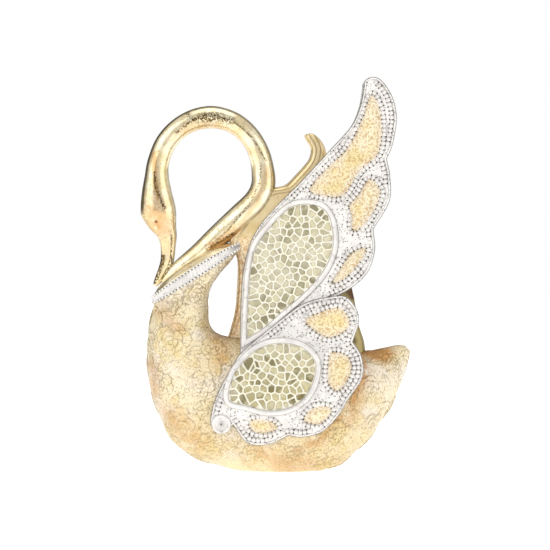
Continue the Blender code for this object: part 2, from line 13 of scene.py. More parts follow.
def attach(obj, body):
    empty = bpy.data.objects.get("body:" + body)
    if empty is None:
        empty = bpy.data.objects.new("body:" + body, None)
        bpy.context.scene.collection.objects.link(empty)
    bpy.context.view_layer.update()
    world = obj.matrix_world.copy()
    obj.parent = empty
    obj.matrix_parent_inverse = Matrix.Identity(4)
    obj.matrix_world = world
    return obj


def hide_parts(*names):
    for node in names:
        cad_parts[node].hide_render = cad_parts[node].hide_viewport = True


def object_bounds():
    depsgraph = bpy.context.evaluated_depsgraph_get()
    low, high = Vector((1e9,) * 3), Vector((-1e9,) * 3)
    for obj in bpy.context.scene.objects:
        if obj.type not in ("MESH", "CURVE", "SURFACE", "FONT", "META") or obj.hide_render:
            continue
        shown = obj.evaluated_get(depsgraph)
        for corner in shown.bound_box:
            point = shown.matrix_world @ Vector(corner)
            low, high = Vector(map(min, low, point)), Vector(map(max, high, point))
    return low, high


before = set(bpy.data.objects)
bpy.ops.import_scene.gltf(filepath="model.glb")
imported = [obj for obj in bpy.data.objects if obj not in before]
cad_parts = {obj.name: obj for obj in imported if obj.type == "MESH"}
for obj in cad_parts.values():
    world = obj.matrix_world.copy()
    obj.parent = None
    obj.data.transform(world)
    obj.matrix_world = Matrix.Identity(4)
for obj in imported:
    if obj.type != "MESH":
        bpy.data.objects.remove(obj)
cad_low, cad_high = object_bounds()

# Studio: a pale floor in a white surround, two soft boxes in front of the swan and one above it. The
# surround has a dark gap behind the swan on the left, for the gold leaf to reflect.
# The camera stands level with the swan's middle, looks at its left side and has a long lens.
MM = 0.001
PHOTO_WIDTH = 341.0
CAMERA_DISTANCE = 1600.0
CAMERA_ELEVATION = 1.0
CAMERA_AIM = (-0.2, 0.0, 120.9)
SENSOR_WIDTH = 36.0
FLOOR_SIZE = 8.0
FLOOR_DROP = 0.15
SOFT_BOXES = (
    # name, place in metres, size in metres, power in watts
    ("key_box", (-1.15, -0.95, 0.75), 1.3, 5.6),
    ("fill_box", (1.2, -0.8, 0.5), 1.1, 3.2),
    ("top_box", (0.0, -0.2, 1.45), 1.1, 4.2),
)
SURROUND_LIGHT = 0.86
DARK_GAP = (-0.6, 0.8, 0.0)
GAP_FADE = {"From_Min": 0.58, "From_Max": 0.74, "To_Min": SURROUND_LIGHT, "To_Max": 0.15}
FLOOR_GLOW = 0.75


def clear_selection():
    """Nothing selected and nothing in edit mode, so that an operator acts on the new piece alone."""
    if bpy.context.mode != "OBJECT":
        bpy.ops.object.mode_set(mode="OBJECT")
    bpy.ops.object.select_all(action="DESELECT")


def feed(owner, socket, value):
    """Links a socket of a material or of the world to the socket given, or sets it to the value."""
    if isinstance(value, bpy.types.NodeSocket):
        owner.node_tree.links.new(value, socket)
    else:
        socket.default_value = value


def node(owner, kind, settings=None, *values, **named_values):
    """A new shader node with its settings. Its sockets take the values in order or by name."""
    made = owner.node_tree.nodes.new("ShaderNode" + kind)
    for name, value in (settings or {}).items():
        setattr(made, name, value)
    for socket, value in zip(made.inputs, values):
        feed(owner, socket, value)
    for name, value in named_values.items():
        feed(owner, made.inputs[name.replace("_", " ")], value)
    return made


def into_shader(material, **sockets):
    """Gives these sockets of a material's Principled shader what they take."""
    shader = material.node_tree.nodes["Principled BSDF"]
    for name, value in sockets.items():
        feed(material, shader.inputs[name.replace("_", " ")], value)


def new_finish(name, **sockets):
    """A Principled material with these socket values."""
    material = bpy.data.materials.new(name)
    material.use_nodes = True
    into_shader(material, **sockets)
    return material


def colour(red, green, blue):
    """An sRGB colour of 0 to 255 as the linear colour that a shader takes."""
    parts = [value / 255 for value in (red, green, blue)]
    linear = [p / 12.92 if p <= 0.04045 else ((p + 0.055) / 1.055) ** 2.4 for p in parts]
    return (*linear, 1.0)


clear_selection()
elevation = math.radians(CAMERA_ELEVATION)
towards_camera = Vector((0, -math.cos(elevation), math.sin(elevation)))
bpy.ops.object.camera_add(location=(Vector(CAMERA_AIM) + towards_camera * CAMERA_DISTANCE) * MM)
camera = bpy.context.object
camera.rotation_euler = (-towards_camera).to_track_quat("-Z", "Y").to_euler()
camera.data.sensor_width = SENSOR_WIDTH
camera.data.lens = SENSOR_WIDTH * CAMERA_DISTANCE / PHOTO_WIDTH
bpy.context.scene.camera = camera
bpy.context.scene.view_settings.view_transform = "Standard"

clear_selection()
bpy.ops.mesh.primitive_plane_add(size=FLOOR_SIZE, location=(0, 0, -FLOOR_DROP * MM))
floor = bpy.context.object
floor.name = "floor"
floor_white = new_finish(
    "floor_white", Base_Color=colour(235, 235, 235), Roughness=0.9, Emission_Color=(1, 1, 1, 1),
    Emission_Strength=FLOOR_GLOW,
)
floor.data.materials.append(floor_white)

for box_name, box_place, box_size, box_power in SOFT_BOXES:
    clear_selection()
    bpy.ops.object.light_add(type="AREA", location=box_place)
    soft_box = bpy.context.object
    soft_box.name = box_name
    soft_box.data.size = box_size
    soft_box.data.energy = box_power
    aim = Vector(CAMERA_AIM) * MM - Vector(box_place)
    soft_box.rotation_euler = aim.to_track_quat("-Z", "Y").to_euler()

surround = bpy.data.worlds.new("white_surround")
surround.use_nodes = True
bpy.context.scene.world = surround
seen_white = surround.node_tree.nodes["Background"]
seen_white.inputs["Color"].default_value = (1, 1, 1, 1)
looking = node(surround, "TexCoord").outputs["Generated"]
towards_gap = node(surround, "VectorMath", {"operation": "DOT_PRODUCT"}, looking, DARK_GAP)
brightness = node(
    surround, "MapRange", {"interpolation_type": "SMOOTHSTEP"}, Value=towards_gap.outputs["Value"], **GAP_FADE
)
dim_light = node(surround, "Background", Strength=brightness.outputs["Result"])
from_camera = node(surround, "LightPath").outputs["Is Camera Ray"]
either = node(surround, "MixShader", None, from_camera, dim_light.outputs[0], seen_white.outputs[0])
feed(surround, surround.node_tree.nodes["World Output"].inputs["Surface"], either.outputs[0])


# Body and chest: the hollow resin casting, with a relief of roses and leaves on a ground of lace.
# The relief is in the mould. The casting is sprayed cream, then patches of it are wiped with gold
# and the low lines are left brown.
# Along its outline, where the sides turn away and along the belly and the back, the casting carries painted
# shade.
BODY_RIBS = (
    # belly end (x, z), back end (x, z), half the width, bow of the sides towards the head
    (83.6, 74.0, 80.5, 77.4, 1.6, 0.0),
    (82.4, 66.4, 76.0, 78.0, 4.5, 0.0),
    (78.0, 53.2, 68.0, 76.5, 10.5, 0.0),
    (69.4, 36.0, 58.5, 74.5, 18.5, 0.0),
    (56.0, 17.3, 47.5, 73.0, 26.5, 0.0),
    (38.4, 3.1, 34.0, 74.5, 33.0, 0.0),
    (15.5, -2.0, 15.5, 77.0, 36.5, 0.0),
    (-6.5, -2.0, -4.5, 79.5, 37.0, 0.0),
    (-27.0, 0.5, -20.0, 82.0, 36.5, 0.0),
    (-48.2, 7.2, -30.5, 83.0, 35.0, 0.0),
    (-62.6, 17.4, -37.5, 86.0, 32.5, 0.0),
    (-73.2, 35.8, -41.5, 92.0, 29.5, 0.0),
    (-79.0, 56.0, -41.5, 100.5, 26.0, 0.0),
    (-79.5, 74.5, -41.0, 108.5, 22.5, 0.0),
    (-78.0, 90.0, -36.5, 118.5, 19.0, -1.0),
    (-76.3, 98.6, -28.6, 129.4, 16.2, -2.4),
    (-75.4, 103.6, -22.0, 137.6, 15.0, -1.4),
)
BODY_SQUARENESS = 2.35
BODY_STEPS = 19
BODY_SIDES = 310
SIDE_CROWDING = 0.15
RELIEF_SINK = 0.45
EDGE_SOFTNESS = 0.7
FARTHEST_LINE = 3.0
# painted shade along the outline: where the sides turn away, and thin lines along the belly and the back
EDGE_SHADE_REACH = 0.1
EDGE_SHADE_STRENGTH = 0.7
EDGE_LINE_WIDTH = 0.6
EDGE_LINE_FULL = 1.5
BELLY_LINE_STRENGTH = 0.8
BACK_LINE_STRENGTH = 0.5
TAIL_FADE_END = 84.5
TAIL_FADE_LENGTH = 8.0
ROSES = (
    # x, z, radius, turn, share of gold
    (-64.0, 80.0, 12.5, 0.3, 0.85),
    (-62.0, 104.0, 9.0, 1.2, 0.35),
    (-56.0, 29.0, 12.0, 2.1, 0.9),
    (-45.0, 55.0, 8.5, 0.8, 0.25),
    (-70.0, 54.0, 8.8, 1.9, 0.3),
    (-14.0, 10.5, 8.8, 0.5, 0.8),
    (37.0, 21.0, 12.0, 1.1, 0.75),
    (12.0, 10.5, 8.3, 2.6, 0.2),
    (59.0, 50.0, 10.0, 0.2, 0.35),
    (72.0, 66.0, 7.3, 1.4, 0.8),
    (-48.0, 108.0, 7.5, 2.2, 0.7),
)
LEAVES = (
    # x, z, half the length, half the width, lean from upright in radians, share of gold
    (-37.0, 66.0, 9.0, 3.6, -0.25, 1.0),
    (-30.5, 71.0, 6.0, 3.0, 0.5, 0.9),
    (-23.5, 22.0, 6.5, 2.6, 0.15, 0.2),
    (-28.5, 17.5, 6.0, 2.6, 0.8, 0.4),
    (63.5, 68.5, 6.0, 2.9, 1.4, 0.6),
    (52.0, 33.0, 7.5, 3.2, -0.6, 0.9),
    (24.0, 12.0, 6.5, 2.8, 1.2, 0.5),
    (-45.0, 40.0, 7.0, 4.8, 0.9, 0.15),
    (-68.0, 66.0, 6.5, 3.0, 1.1, 0.4),
    (-51.0, 69.0, 7.0, 3.2, -1.0, 0.5),
    (-52.0, 90.0, 7.5, 3.3, 0.4, 0.45),
    (-71.5, 94.5, 6.0, 2.8, -0.5, 0.6),
    (-42.0, 22.0, 7.0, 3.0, 1.3, 0.6),
    (-62.0, 43.5, 6.5, 2.9, 0.5, 0.7),
    (-36.0, 10.5, 6.0, 2.6, 1.0, 0.7),
    (2.0, 16.5, 6.0, 2.5, 1.5, 0.4),
    (68.5, 54.5, 6.5, 2.8, -0.3, 0.6),
    (48.0, 44.0, 6.0, 2.6, 0.2, 0.5),
)
BODY_STAINS_AND_SHADOW = (
    # half the width, strength, and the line (x, z) along which the gold wash is rubbed to brown
    (7.0, 0.75, ((-34, 84), (-32, 70))),
    (8.0, 0.8, ((-64, 36), (-56, 26), (-46, 20))),
    (7.0, 0.8, ((-10, 12), (8, 6), (18, 8))),
    # on the tail's top, under the lower wing's raised rear edge: painted shadow as well as stain
    (4.5, 2.2, ((52, 77), (60, 74), (68, 72))),
    (3.4, 1.25, ((47, 44), (50, 52), (55, 62), (52, 72))),
    (3.4, 1.05, ((42, 38), (26, 20), (14, 15))),
    (5.0, 0.7, ((54, 62), (50, 44), (44, 32))),
    (6.0, 0.6, ((-70, 98), (-60, 90))),
    (5.0, 0.7, ((-76, 66), (-74, 48))),
)
ROSE_RINGS = (
    # petals, distance from the middle and half the size as shares of the radius, height
    (6, 0.60, 0.42, 0.45),
    (5, 0.36, 0.31, 0.75),
    (3, 0.16, 0.21, 1.0),
)
ROSE_BUD = (0.11, 1.25, -0.2)  # half the size as a share of the radius, height, cup
PETAL_TURN = 0.12
PETAL_SIZES = (0.92, 1.08)
PETAL_WIDTH_SHARE = 1.08
PETAL_CUP = 0.35
PETAL_RIM_SHARE = 0.8
PETAL_SCALLOPS = 7
SCALLOP_DEPTH = 0.035
LEVEL_LIMIT = 0.2
SAME_WAY = 0.1
TIP_GAP = 0.3
LEAF_LEVEL = 0.35
LEAF_CUP = 0.3
VEIN_PITCH = 2.6
VEIN_SLANT = 1.1
VEIN_START = 1.0
VEIN_GAP = 0.25
MIDRIB_GAP = 0.12
MIDRIB_DEPTH = 0.22
MIDRIB_WIDTH = 0.5
SIDE_FACING = 0.05
HIDDEN_TRIES = 1380
HIDDEN_LOWEST = 3.0
HIDDEN_FACING = 0.75
HIDDEN_SPACING = 19.0
HIDDEN_ROSE_RADII = (7.5, 9.5)
HIDDEN_GOLD = (0.1, 0.9)
HIDDEN_LEAF_TURNS = (0.0, 2.1, 4.2)
HIDDEN_LEAF_DISTANCE = 11.0
HIDDEN_LEAF = (5.5, 2.5, 0.3, 0.25, 0.5)  # half the length, half the width, height, cup, gold
FULL_TURN = 6.28
BODY_SEED = 11
RESIN_LAYERS = (
    # sRGB colour, what masks it, and its noise: scale, detail, roughness, where it starts and is
    # full, and the layer's share at each of the two
    ((241, 229, 211), None, (60, 3, 0.5, 0.35, 0.7, 0, 1)),
    ((234, 210, 156), None, (38, 4, 0.6, 0.46, 0.62, 0, 0.5)),
    ((234, 210, 142), "gilding", (90, 3, 0.5, 0.34, 0.62, 0, 0.8)),
    # brown stains, and painted shadow on the tail's top
    ((206, 150, 84), "stain_and_painted_shadow", (130, 4, 0.6, 0.28, 0.56, 0, 0.75)),
    ((126, 104, 58), "lace_gaps", (45, 3, 0.6, 0.36, 0.62, 0.12, 0.5)),
    ((112, 90, 44), "net", (52, 3, 0.6, 0.42, 0.6, 0.05, 0.6)),
    ((116, 104, 66), None, (800, 2, 0.5, 0.58, 0.68, 0, 0.5)),
    ((118, 92, 46), "lines", (260, 2, 0.5, 0.3, 0.55, 0, 0.62)),
    # painted shade along the outline
    ((104, 86, 46), "painted_outline_shade", (420, 2, 0.5, 0.36, 0.6, 0.08, 0.62)),
    ((206, 184, 136), "lowness", 0.3),
)
LACE_SCALE = 800
LACE_KNOTS = (0.15, 0.55)
LACE_GAPS = (0.46, 0.7)
NET_SCALE = 900
NET_DOTS = (0.26, 0.14)
LINE_WIDTHS = (0.5, 0.08)
LOW_HEIGHTS = (0.06, 0.0)  # metres


def turns(count):
    """Angles that go once round in this many steps."""
    return 2 * np.pi * np.arange(count) / count


def smooth_rows(rows, steps):
    """Rows of numbers with steps - 1 more rows between each pair, on smooth curves."""
    rows = np.array(rows, float)
    padded = np.vstack([rows[:1], rows, rows[-1:]])
    found = []
    for a, b, c, d in zip(padded, padded[1:], padded[2:], padded[3:]):
        for t in np.arange(steps) / steps:
            bend = (2 * a - 5 * b + 4 * c - d) * t * t + (3 * b - a - 3 * c + d) * t**3
            found.append(0.5 * (2 * b + (c - a) * t + bend))
    return np.array([*found, rows[-1]])


def rounded_ring(rows, squareness, angles):
    """Rings of points round each row's section: an array of rows, sides and x, y, z."""
    belly = np.stack([rows[:, 0], 0 * rows[:, 0], rows[:, 1]], 1)
    back = np.stack([rows[:, 2], 0 * rows[:, 0], rows[:, 3]], 1)
    half = (belly - back) / 2
    across = half / np.linalg.norm(half, axis=1, keepdims=True)
    headward = np.stack([across[:, 2], 0 * across[:, 0], -across[:, 0]], 1)
    cosine, sine = np.cos(angles), np.sin(angles)
    lengthwise = np.sign(cosine) * np.abs(cosine) ** (2 / squareness)
    sideways = np.sign(sine) * np.abs(sine) ** (2 / squareness)
    points = ((belly + back) / 2)[:, None] + half[:, None] * lengthwise[None, :, None]
    points[:, :, 1] += rows[:, 4:5] * sideways
    return points + headward[:, None] * (rows[:, 5:6] * sideways**2)[:, :, None]


def ring_normals(points):
    """Outward normals of a grid of rings."""
    round_way = np.roll(points, -1, 1) - np.roll(points, 1, 1)
    along = np.gradient(points, axis=0)
    normals = np.cross(along, round_way)
    normals /= np.maximum(np.linalg.norm(normals, axis=2, keepdims=True), 1e-9)
    middle = points.mean(1, keepdims=True)
    facing = np.sum(normals * (points - middle))
    return normals * np.sign(facing)


def skin(name, rings, closed=True):
    """A mesh over rings of points in millimetres, with its two ends closed by a fan."""
    count, sides = rings.shape[:2]
    row, side = np.meshgrid(np.arange(count - 1), np.arange(sides), indexing="ij")
    after = (side + 1) % sides
    corners = [row * sides + side, row * sides + after, (row + 1) * sides + after, (row + 1) * sides + side]
    faces = np.stack(corners, 2).reshape(-1, 4).tolist()
    points = rings.reshape(-1, 3)
    if closed:
        ends = [(0, rings[0].mean(0)), ((count - 1) * sides, rings[-1].mean(0))]
        for first, middle in ends:
            hub = len(points)
            points = np.vstack([points, middle])
            faces += [[first + s, first + (s + 1) % sides, hub] for s in range(sides)]
    mesh = bpy.data.meshes.new(name)
    mesh.from_pydata((points * MM).tolist(), [], faces)
    tidy = bmesh.new()
    tidy.from_mesh(mesh)
    bmesh.ops.recalc_face_normals(tidy, faces=tidy.faces)
    tidy.to_mesh(mesh)
    tidy.free()
    mesh.shade_smooth()
    return mesh


def keep_values(mesh, name, values):
    """Stores one number for each point of the mesh, for its material to read."""
    padded = np.zeros(len(mesh.vertices), np.float32)
    padded[: len(values)] = values
    mesh.attributes.new(name, "FLOAT", "POINT").data.foreach_set("value", padded)


def piece_of(name, mesh, slot, *materials, stands_for="swan_casting"):
    """A finished piece, kept inside the CAD's box. It rides with the swan and stands for a CAD node."""
    for vertex in mesh.vertices:
        vertex.co = [min(max(value, low), high) for value, low, high in zip(vertex.co, cad_low, cad_high)]
    piece = bpy.data.objects.new(name, mesh)
    bpy.context.scene.collection.objects.link(piece)
    for material in materials:
        mesh.materials.append(material)
    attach(piece, "root")
    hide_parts(stands_for)


def soft_step(values):
    """Values from 0 to 1 eased at both ends."""
    values = np.clip(values, 0, 1)
    return values * values * (3 - 2 * values)


def painted(points, strokes):
    """How strongly strokes, seen from the side, cover each point. They show on both sides."""
    share = np.zeros(len(points))
    for half_width, strength, line in strokes:
        for start, end in zip(np.array(line, float), np.array(line[1:], float)):
            way = end - start
            offset = points[:, (0, 2)] - start
            along = np.clip(offset @ way / (way @ way), 0, 1)
            distance = np.linalg.norm(offset - along[:, None] * way, axis=1)
            share = np.maximum(share, strength * np.exp(-((distance / half_width) ** 2)))
    return share


side_angles = turns(BODY_SIDES)
side_angles = side_angles + SIDE_CROWDING * np.sin(2 * side_angles)
body_rows = smooth_rows(BODY_RIBS, BODY_STEPS)
body_points = rounded_ring(body_rows, BODY_SQUARENESS, side_angles)
body_normals = ring_normals(body_points)
flat_points = body_points.reshape(-1, 3)
flat_normals = body_normals.reshape(-1, 3)
relief = np.zeros(len(flat_points))
line_distance = np.full(len(flat_points), FARTHEST_LINE)
gilding = np.zeros(len(flat_points))


def press_petal(anchor, shift, lean, half_length, half_width, level, cup, gold, pointed=False):
    """Presses one petal or leaf into the relief, over what is there already. The anchor is a place on
    the skin; shift, in the skin's own plane, and lean say where the petal lies from there."""
    normal = flat_normals[anchor]
    up = np.array([0.0, 0.0, 1.0]) - normal * normal[2]
    if np.linalg.norm(up) < LEVEL_LIMIT:
        up = np.array([1.0, 0.0, 0.0]) - normal * normal[0]
    up /= np.linalg.norm(up)
    right = np.cross(up, normal)
    offset = flat_points - flat_points[anchor]
    reach = half_length + half_width + np.hypot(*shift) + FARTHEST_LINE
    near = np.flatnonzero((np.abs(offset).max(1) < reach) & (flat_normals @ normal > SAME_WAY))
    u = offset[near] @ right - shift[0]
    v = offset[near] @ up - shift[1]
    across = u * math.cos(lean) - v * math.sin(lean)
    along = u * math.sin(lean) + v * math.cos(lean)
    if pointed:
        inside = half_width * (1 - (along / half_length) ** 2) - np.abs(across)
        past_tip = np.abs(along) - half_length
        inside = np.where(past_tip < 0, inside, -np.abs(past_tip) - TIP_GAP)
    else:
        scallop = np.cos(PETAL_SCALLOPS * np.arctan2(along / half_length, across / half_width))
        spread = np.hypot(across / half_width, along / half_length) * (1 + SCALLOP_DEPTH * scallop)
        inside = (1 - spread) * half_width
    rim = np.clip(inside / (half_width * PETAL_RIM_SHARE), 0, 1)
    height = level + cup * (1 - rim) ** 2
    lines = np.maximum(inside, 0)
    if pointed:
        vein_place = along - np.abs(across) * VEIN_SLANT + VEIN_START
        veins = np.abs(vein_place % VEIN_PITCH - VEIN_PITCH / 2) + VEIN_GAP
        lines = np.minimum(lines, np.minimum(np.abs(across) + MIDRIB_GAP, veins))
        height = height - MIDRIB_DEPTH * np.exp(-((across / MIDRIB_WIDTH) ** 2))
    share = soft_step(inside / EDGE_SOFTNESS + 0.5)
    relief[near] = relief[near] * (1 - share) + height * share
    gilding[near] = gilding[near] * (1 - share) + gold * share
    outside = np.minimum(line_distance[near], np.abs(inside))
    line_distance[near] = np.where(inside > 0, np.minimum(lines, FARTHEST_LINE), outside)


def press_rose(anchor, radius, turn, gold, draws):
    """A rose of rings of overlapping petals round a bud."""
    for count, distance, size, level in ROSE_RINGS:
        for petal in range(count):
            angle = turn + 2 * math.pi * petal / count + draws.uniform(-PETAL_TURN, PETAL_TURN)
            shift = (radius * distance * math.sin(angle), radius * distance * math.cos(angle))
            half = radius * size * draws.uniform(*PETAL_SIZES)
            press_petal(anchor, shift, angle, half, half * PETAL_WIDTH_SHARE, level, PETAL_CUP, gold)
        turn += math.pi / count
    bud, level, cup = ROSE_BUD
    press_petal(anchor, (0, 0), turn, radius * bud, radius * bud, level, cup, gold)


def skin_place(x, z, side):
    """The point of the skin nearest to a place seen from one side."""
    distance = np.hypot(flat_points[:, 0] - x, flat_points[:, 2] - z)
    return int(np.argmin(np.where(flat_normals[:, 1] * side > SIDE_FACING, distance, np.inf)))


relief_draws = random.Random(BODY_SEED)
taken = []
for side in (-1, 1):
    taken += [flat_points[skin_place(rose[0], rose[1], side)] for rose in ROSES]
turned_away = (flat_points[:, 2] > HIDDEN_LOWEST) & (np.abs(flat_normals[:, 1]) < HIDDEN_FACING)
candidates = np.flatnonzero(turned_away).tolist()
for anchor in relief_draws.sample(candidates, HIDDEN_TRIES):
    if all(np.linalg.norm(flat_points[anchor] - other) > HIDDEN_SPACING for other in taken):
        taken.append(flat_points[anchor])
        lean = relief_draws.uniform(0, FULL_TURN)
        for turn in HIDDEN_LEAF_TURNS:
            way = np.array([math.sin(lean + turn), math.cos(lean + turn)])
            press_petal(anchor, way * HIDDEN_LEAF_DISTANCE, lean + turn, *HIDDEN_LEAF, pointed=True)
        radius, gold = relief_draws.uniform(*HIDDEN_ROSE_RADII), relief_draws.uniform(*HIDDEN_GOLD)
        press_rose(anchor, radius, lean, gold, relief_draws)
for side in (-1, 1):
    for x, z, half_length, half_width, lean, gold in LEAVES:
        shape = (half_length, half_width, LEAF_LEVEL, LEAF_CUP, gold)
        press_petal(skin_place(x, z, side), (0, 0), -lean * side, *shape, pointed=True)
    for x, z, radius, turn, gold in ROSES:
        press_rose(skin_place(x, z, side), radius, turn * -side, gold, relief_draws)

tail_fade = soft_step((TAIL_FADE_END - flat_points[:, 0]) / TAIL_FADE_LENGTH)
body_shape = flat_points + flat_normals * ((relief - RELIEF_SINK) * tail_fade)[:, None]
body_shape[:, 2] = np.maximum(body_shape[:, 2], 0)
body_mesh = skin("body_casting", body_shape.reshape(body_points.shape))
keep_values(body_mesh, "line_distance", line_distance)
keep_values(body_mesh, "gilding", gilding)
# painted shade where the sides turn away, with thin lines of it along the belly and the back
painted_outline_shade = EDGE_SHADE_STRENGTH * soft_step(1 - np.abs(flat_normals[:, 1]) / EDGE_SHADE_REACH)
for end, strength in ((0, BELLY_LINE_STRENGTH), (BODY_SIDES // 2, BACK_LINE_STRENGTH)):
    from_end = np.linalg.norm((body_points - body_points[:, end:end + 1])[:, :, (0, 2)], axis=2).ravel()
    painted_outline_shade = np.maximum(painted_outline_shade, strength * soft_step(EDGE_LINE_FULL - from_end / EDGE_LINE_WIDTH))
keep_values(body_mesh, "painted_outline_shade", painted_outline_shade)
keep_values(body_mesh, "stain_and_painted_shadow", painted(flat_points, BODY_STAINS_AND_SHADOW))


def coordinates(material):
    return node(material, "TexCoord").outputs["Object"]


def place_in(material):
    """The X, Y and Z of object coordinates, in metres."""
    return node(material, "SeparateXYZ", None, coordinates(material)).outputs


def stored(material, name):
    return node(material, "Attribute", {"attribute_name": name}).outputs["Fac"]


def grain(material, scale, detail=2, roughness=0.5):
    """Noise of 0 to 1 on object coordinates; a scale of 1000 has features of about 1 mm."""
    made = node(
        material, "TexNoise", Vector=coordinates(material), Scale=scale, Detail=detail, Roughness=roughness
    )
    return made.outputs["Fac"]


def cells(material, scale, randomness=1.0):
    """The distance to the middle of the nearest of many small cells."""
    made = node(material, "TexVoronoi", Vector=coordinates(material), Scale=scale, Randomness=randomness)
    return made.outputs["Distance"]


def step_between(material, value, low, high, at_low=0.0, at_high=1.0):
    """A value that runs smoothly from at_low to at_high while the one given runs from low to high."""
    made = node(
        material, "MapRange", {"interpolation_type": "SMOOTHSTEP"}, Value=value, From_Min=low,
        From_Max=high, To_Min=at_low, To_Max=at_high,
    )
    return made.outputs["Result"]


def patches(material, scale, detail, roughness, *limits):
    """Soft patches of noise, between limits as step_between takes them."""
    return step_between(material, grain(material, scale, detail, roughness), *limits)


def times(material, a, b):
    return node(material, "Math", {"operation": "MULTIPLY"}, a, b).outputs[0]


def mixed(material, share, first, second):
    """The first colour with a share of the second over it."""
    made = node(material, "Mix", {"data_type": "RGBA"})
    for index, value in ((0, share), (6, first), (7, second)):
        feed(material, made.inputs[index], value)
    return made.outputs[2]


def layered(material, base, layers, **masks):
    """A colour with layers painted over it, as the tables of layers list them. A layer's mask is a
    socket given here or else a number stored on the mesh, and a plain share stands for no noise."""
    for tone, mask, noise_or_share in layers:
        share = noise_or_share
        if isinstance(share, tuple):
            share = patches(material, *share)
        if mask:
            share = times(material, masks[mask] if mask in masks else stored(material, mask), share)
        base = mixed(material, share, base, colour(*tone))
    return base


def bumped(material, height, depth, strength=1.0):
    """Bump of a height of 0 to 1 that stands for a depth in millimetres."""
    return node(material, "Bump", Height=height, Distance=depth * MM, Strength=strength).outputs["Normal"]


resin = new_finish("champagne_resin", Roughness=0.5, Metallic=0.12, Specular_IOR_Level=0.4)
lace = cells(resin, LACE_SCALE)
resin_colour = layered(
    resin, colour(244, 230, 196), RESIN_LAYERS,
    lace_gaps=step_between(resin, lace, *LACE_GAPS),
    net=step_between(resin, cells(resin, NET_SCALE, randomness=0.4), *NET_DOTS),
    lines=step_between(resin, stored(resin, "line_distance"), *LINE_WIDTHS),
    lowness=step_between(resin, place_in(resin)["Z"], *LOW_HEIGHTS),
)
resin_bump = bumped(resin, step_between(resin, lace, *LACE_KNOTS), depth=0.25, strength=0.55)
into_shader(resin, Base_Color=resin_colour, Normal=resin_bump)
piece_of("body_casting", body_mesh, "champagne_resin", resin)


# Collar: a silvered band cast round the slanted top of the chest, fluted across its width, with a
# row of small beads along each edge. Inside it the casting closes in a low gold dome.
BAND_ROWS = (
    (-75.4, 103.6, -22.0, 137.6, 15.0, -1.4),
    (-75.4, 107.6, -22.4, 140.8, 12.8, 2.0),
)
BAND_RISE = 0.9
BAND_PROFILE = (
    # share of the way from the lower row to the upper one, share of the rise
    (-0.06, -1.5), (-0.04, 0.2), (0.0, 0.5), (0.14, 0.55), (0.22, 0.85), (0.5, 0.95), (0.78, 0.85),
    (0.86, 0.55), (1.0, 0.5), (1.04, 0.2), (1.06, -1.5),
)
BAND_STEPS = 3
BAND_SIDES = 720
BAND_FLUTES = 120
FLUTE_DEPTH = 0.22
BAND_TARNISH = ((4.0, 0.6, ((-25, 139), (-20, 141))),)
BAND_BEAD_RADIUS = 0.95
BAND_BEAD_PITCH = 2.35
BAND_BEAD_SHARES = (0.07, 0.93)
BAND_BEAD_RISE = 0.63
BEAD_CUT = 0.45
# the band's rows under the beads, in dark silver: painted shade between the beads
SHADED_BEAD_ROWS = (6, 7, 8, 21, 22, 23)
COLLAR_DOME = (
    # share of the collar's size, lift over it
    (1.0, 0.2), (0.93, 1.6), (0.8, 3.6), (0.6, 5.2), (0.35, 6.2), (0.12, 6.6),
)
SILVER_LAYERS = (
    ((239, 235, 230), None, (140, 3, 0.5, 0.3, 0.7)),
    ((158, 152, 142), None, (330, 3, 0.6, 0.56, 0.7, 0, 0.5)),
    # dirt at the collar's end, and painted shade on the wings' walls, steps and frames
    ((100, 96, 90), "tarnish_and_painted_shade", 1.0),
)
DARK_SILVER_LAYERS = (((96, 96, 94), None, (300, 2, 0.5, 0.35, 0.65)),)
STIPPLE_LAYERS = (((96, 93, 88), "dots", (110, 3, 0.5, 0.34, 0.54, 0.3, 0.85)),)
STIPPLE_SCALE = 620
STIPPLE_DOTS = (0.34, 0.22)


def bead_shape(radius):
    """One cast bead: a small low ball, cut off where it sinks into what carries it."""
    clear_selection()
    bpy.ops.mesh.primitive_uv_sphere_add(segments=8, ring_count=6, radius=radius)
    ball = bpy.context.object
    bpy.ops.object.mode_set(mode="EDIT")
    bpy.ops.mesh.select_all(action="SELECT")
    cut = -radius * BEAD_CUT
    bpy.ops.mesh.bisect(plane_co=(0, 0, cut), plane_no=(0, 0, 1), use_fill=True, clear_inner=True)
    bpy.ops.object.mode_set(mode="OBJECT")
    points = np.array([vertex.co for vertex in ball.data.vertices])
    faces = [list(face.vertices) for face in ball.data.polygons]
    bpy.data.objects.remove(ball, do_unlink=True)
    return points, faces


def scattered(shape, places, frames):
    """Copies of a shape at places; each frame holds the directions of its x, y and z."""
    points, faces = shape
    spread = [points @ np.array(axes) + place for place, axes in zip(places, frames)]
    joined = [[index + len(points) * copy for index in face] for copy in range(len(places)) for face in faces]
    return np.vstack(spread), joined


def spaced(path, pitch):
    """Points along a closed path, about a pitch apart."""
    line = np.vstack([path, path[:1]])
    lengths = np.concatenate([[0], np.cumsum(np.linalg.norm(np.diff(line, axis=0), axis=1))])
    at = np.linspace(0, lengths[-1], max(2, round(lengths[-1] / pitch)), endpoint=False)
    return np.stack([np.interp(at, lengths, line[:, axis]) for axis in range(line.shape[1])], 1)


def band_row(share, rise):
    """The band's row at a share of its height, raised over its face."""
    lower, upper = (np.array(row) for row in BAND_ROWS)
    row = lower + (upper - lower) * share
    along = row[:2] - row[2:4]
    along /= np.linalg.norm(along)
    return np.array([*(row[:2] + along * rise), *(row[2:4] - along * rise), row[4] + rise, row[5]])


def grained(material, scale, detail, depth, strength=1.0, roughness=0.5):
    """Bump of noise, with its depth in millimetres."""
    return bumped(material, grain(material, scale, detail, roughness), depth, strength)


def copied(material, name):
    """A copy of a material, and the socket that colours it."""
    made = material.copy()
    made.name = name
    return made, made.node_tree.nodes["Principled BSDF"].inputs["Base Color"].links[0].from_socket


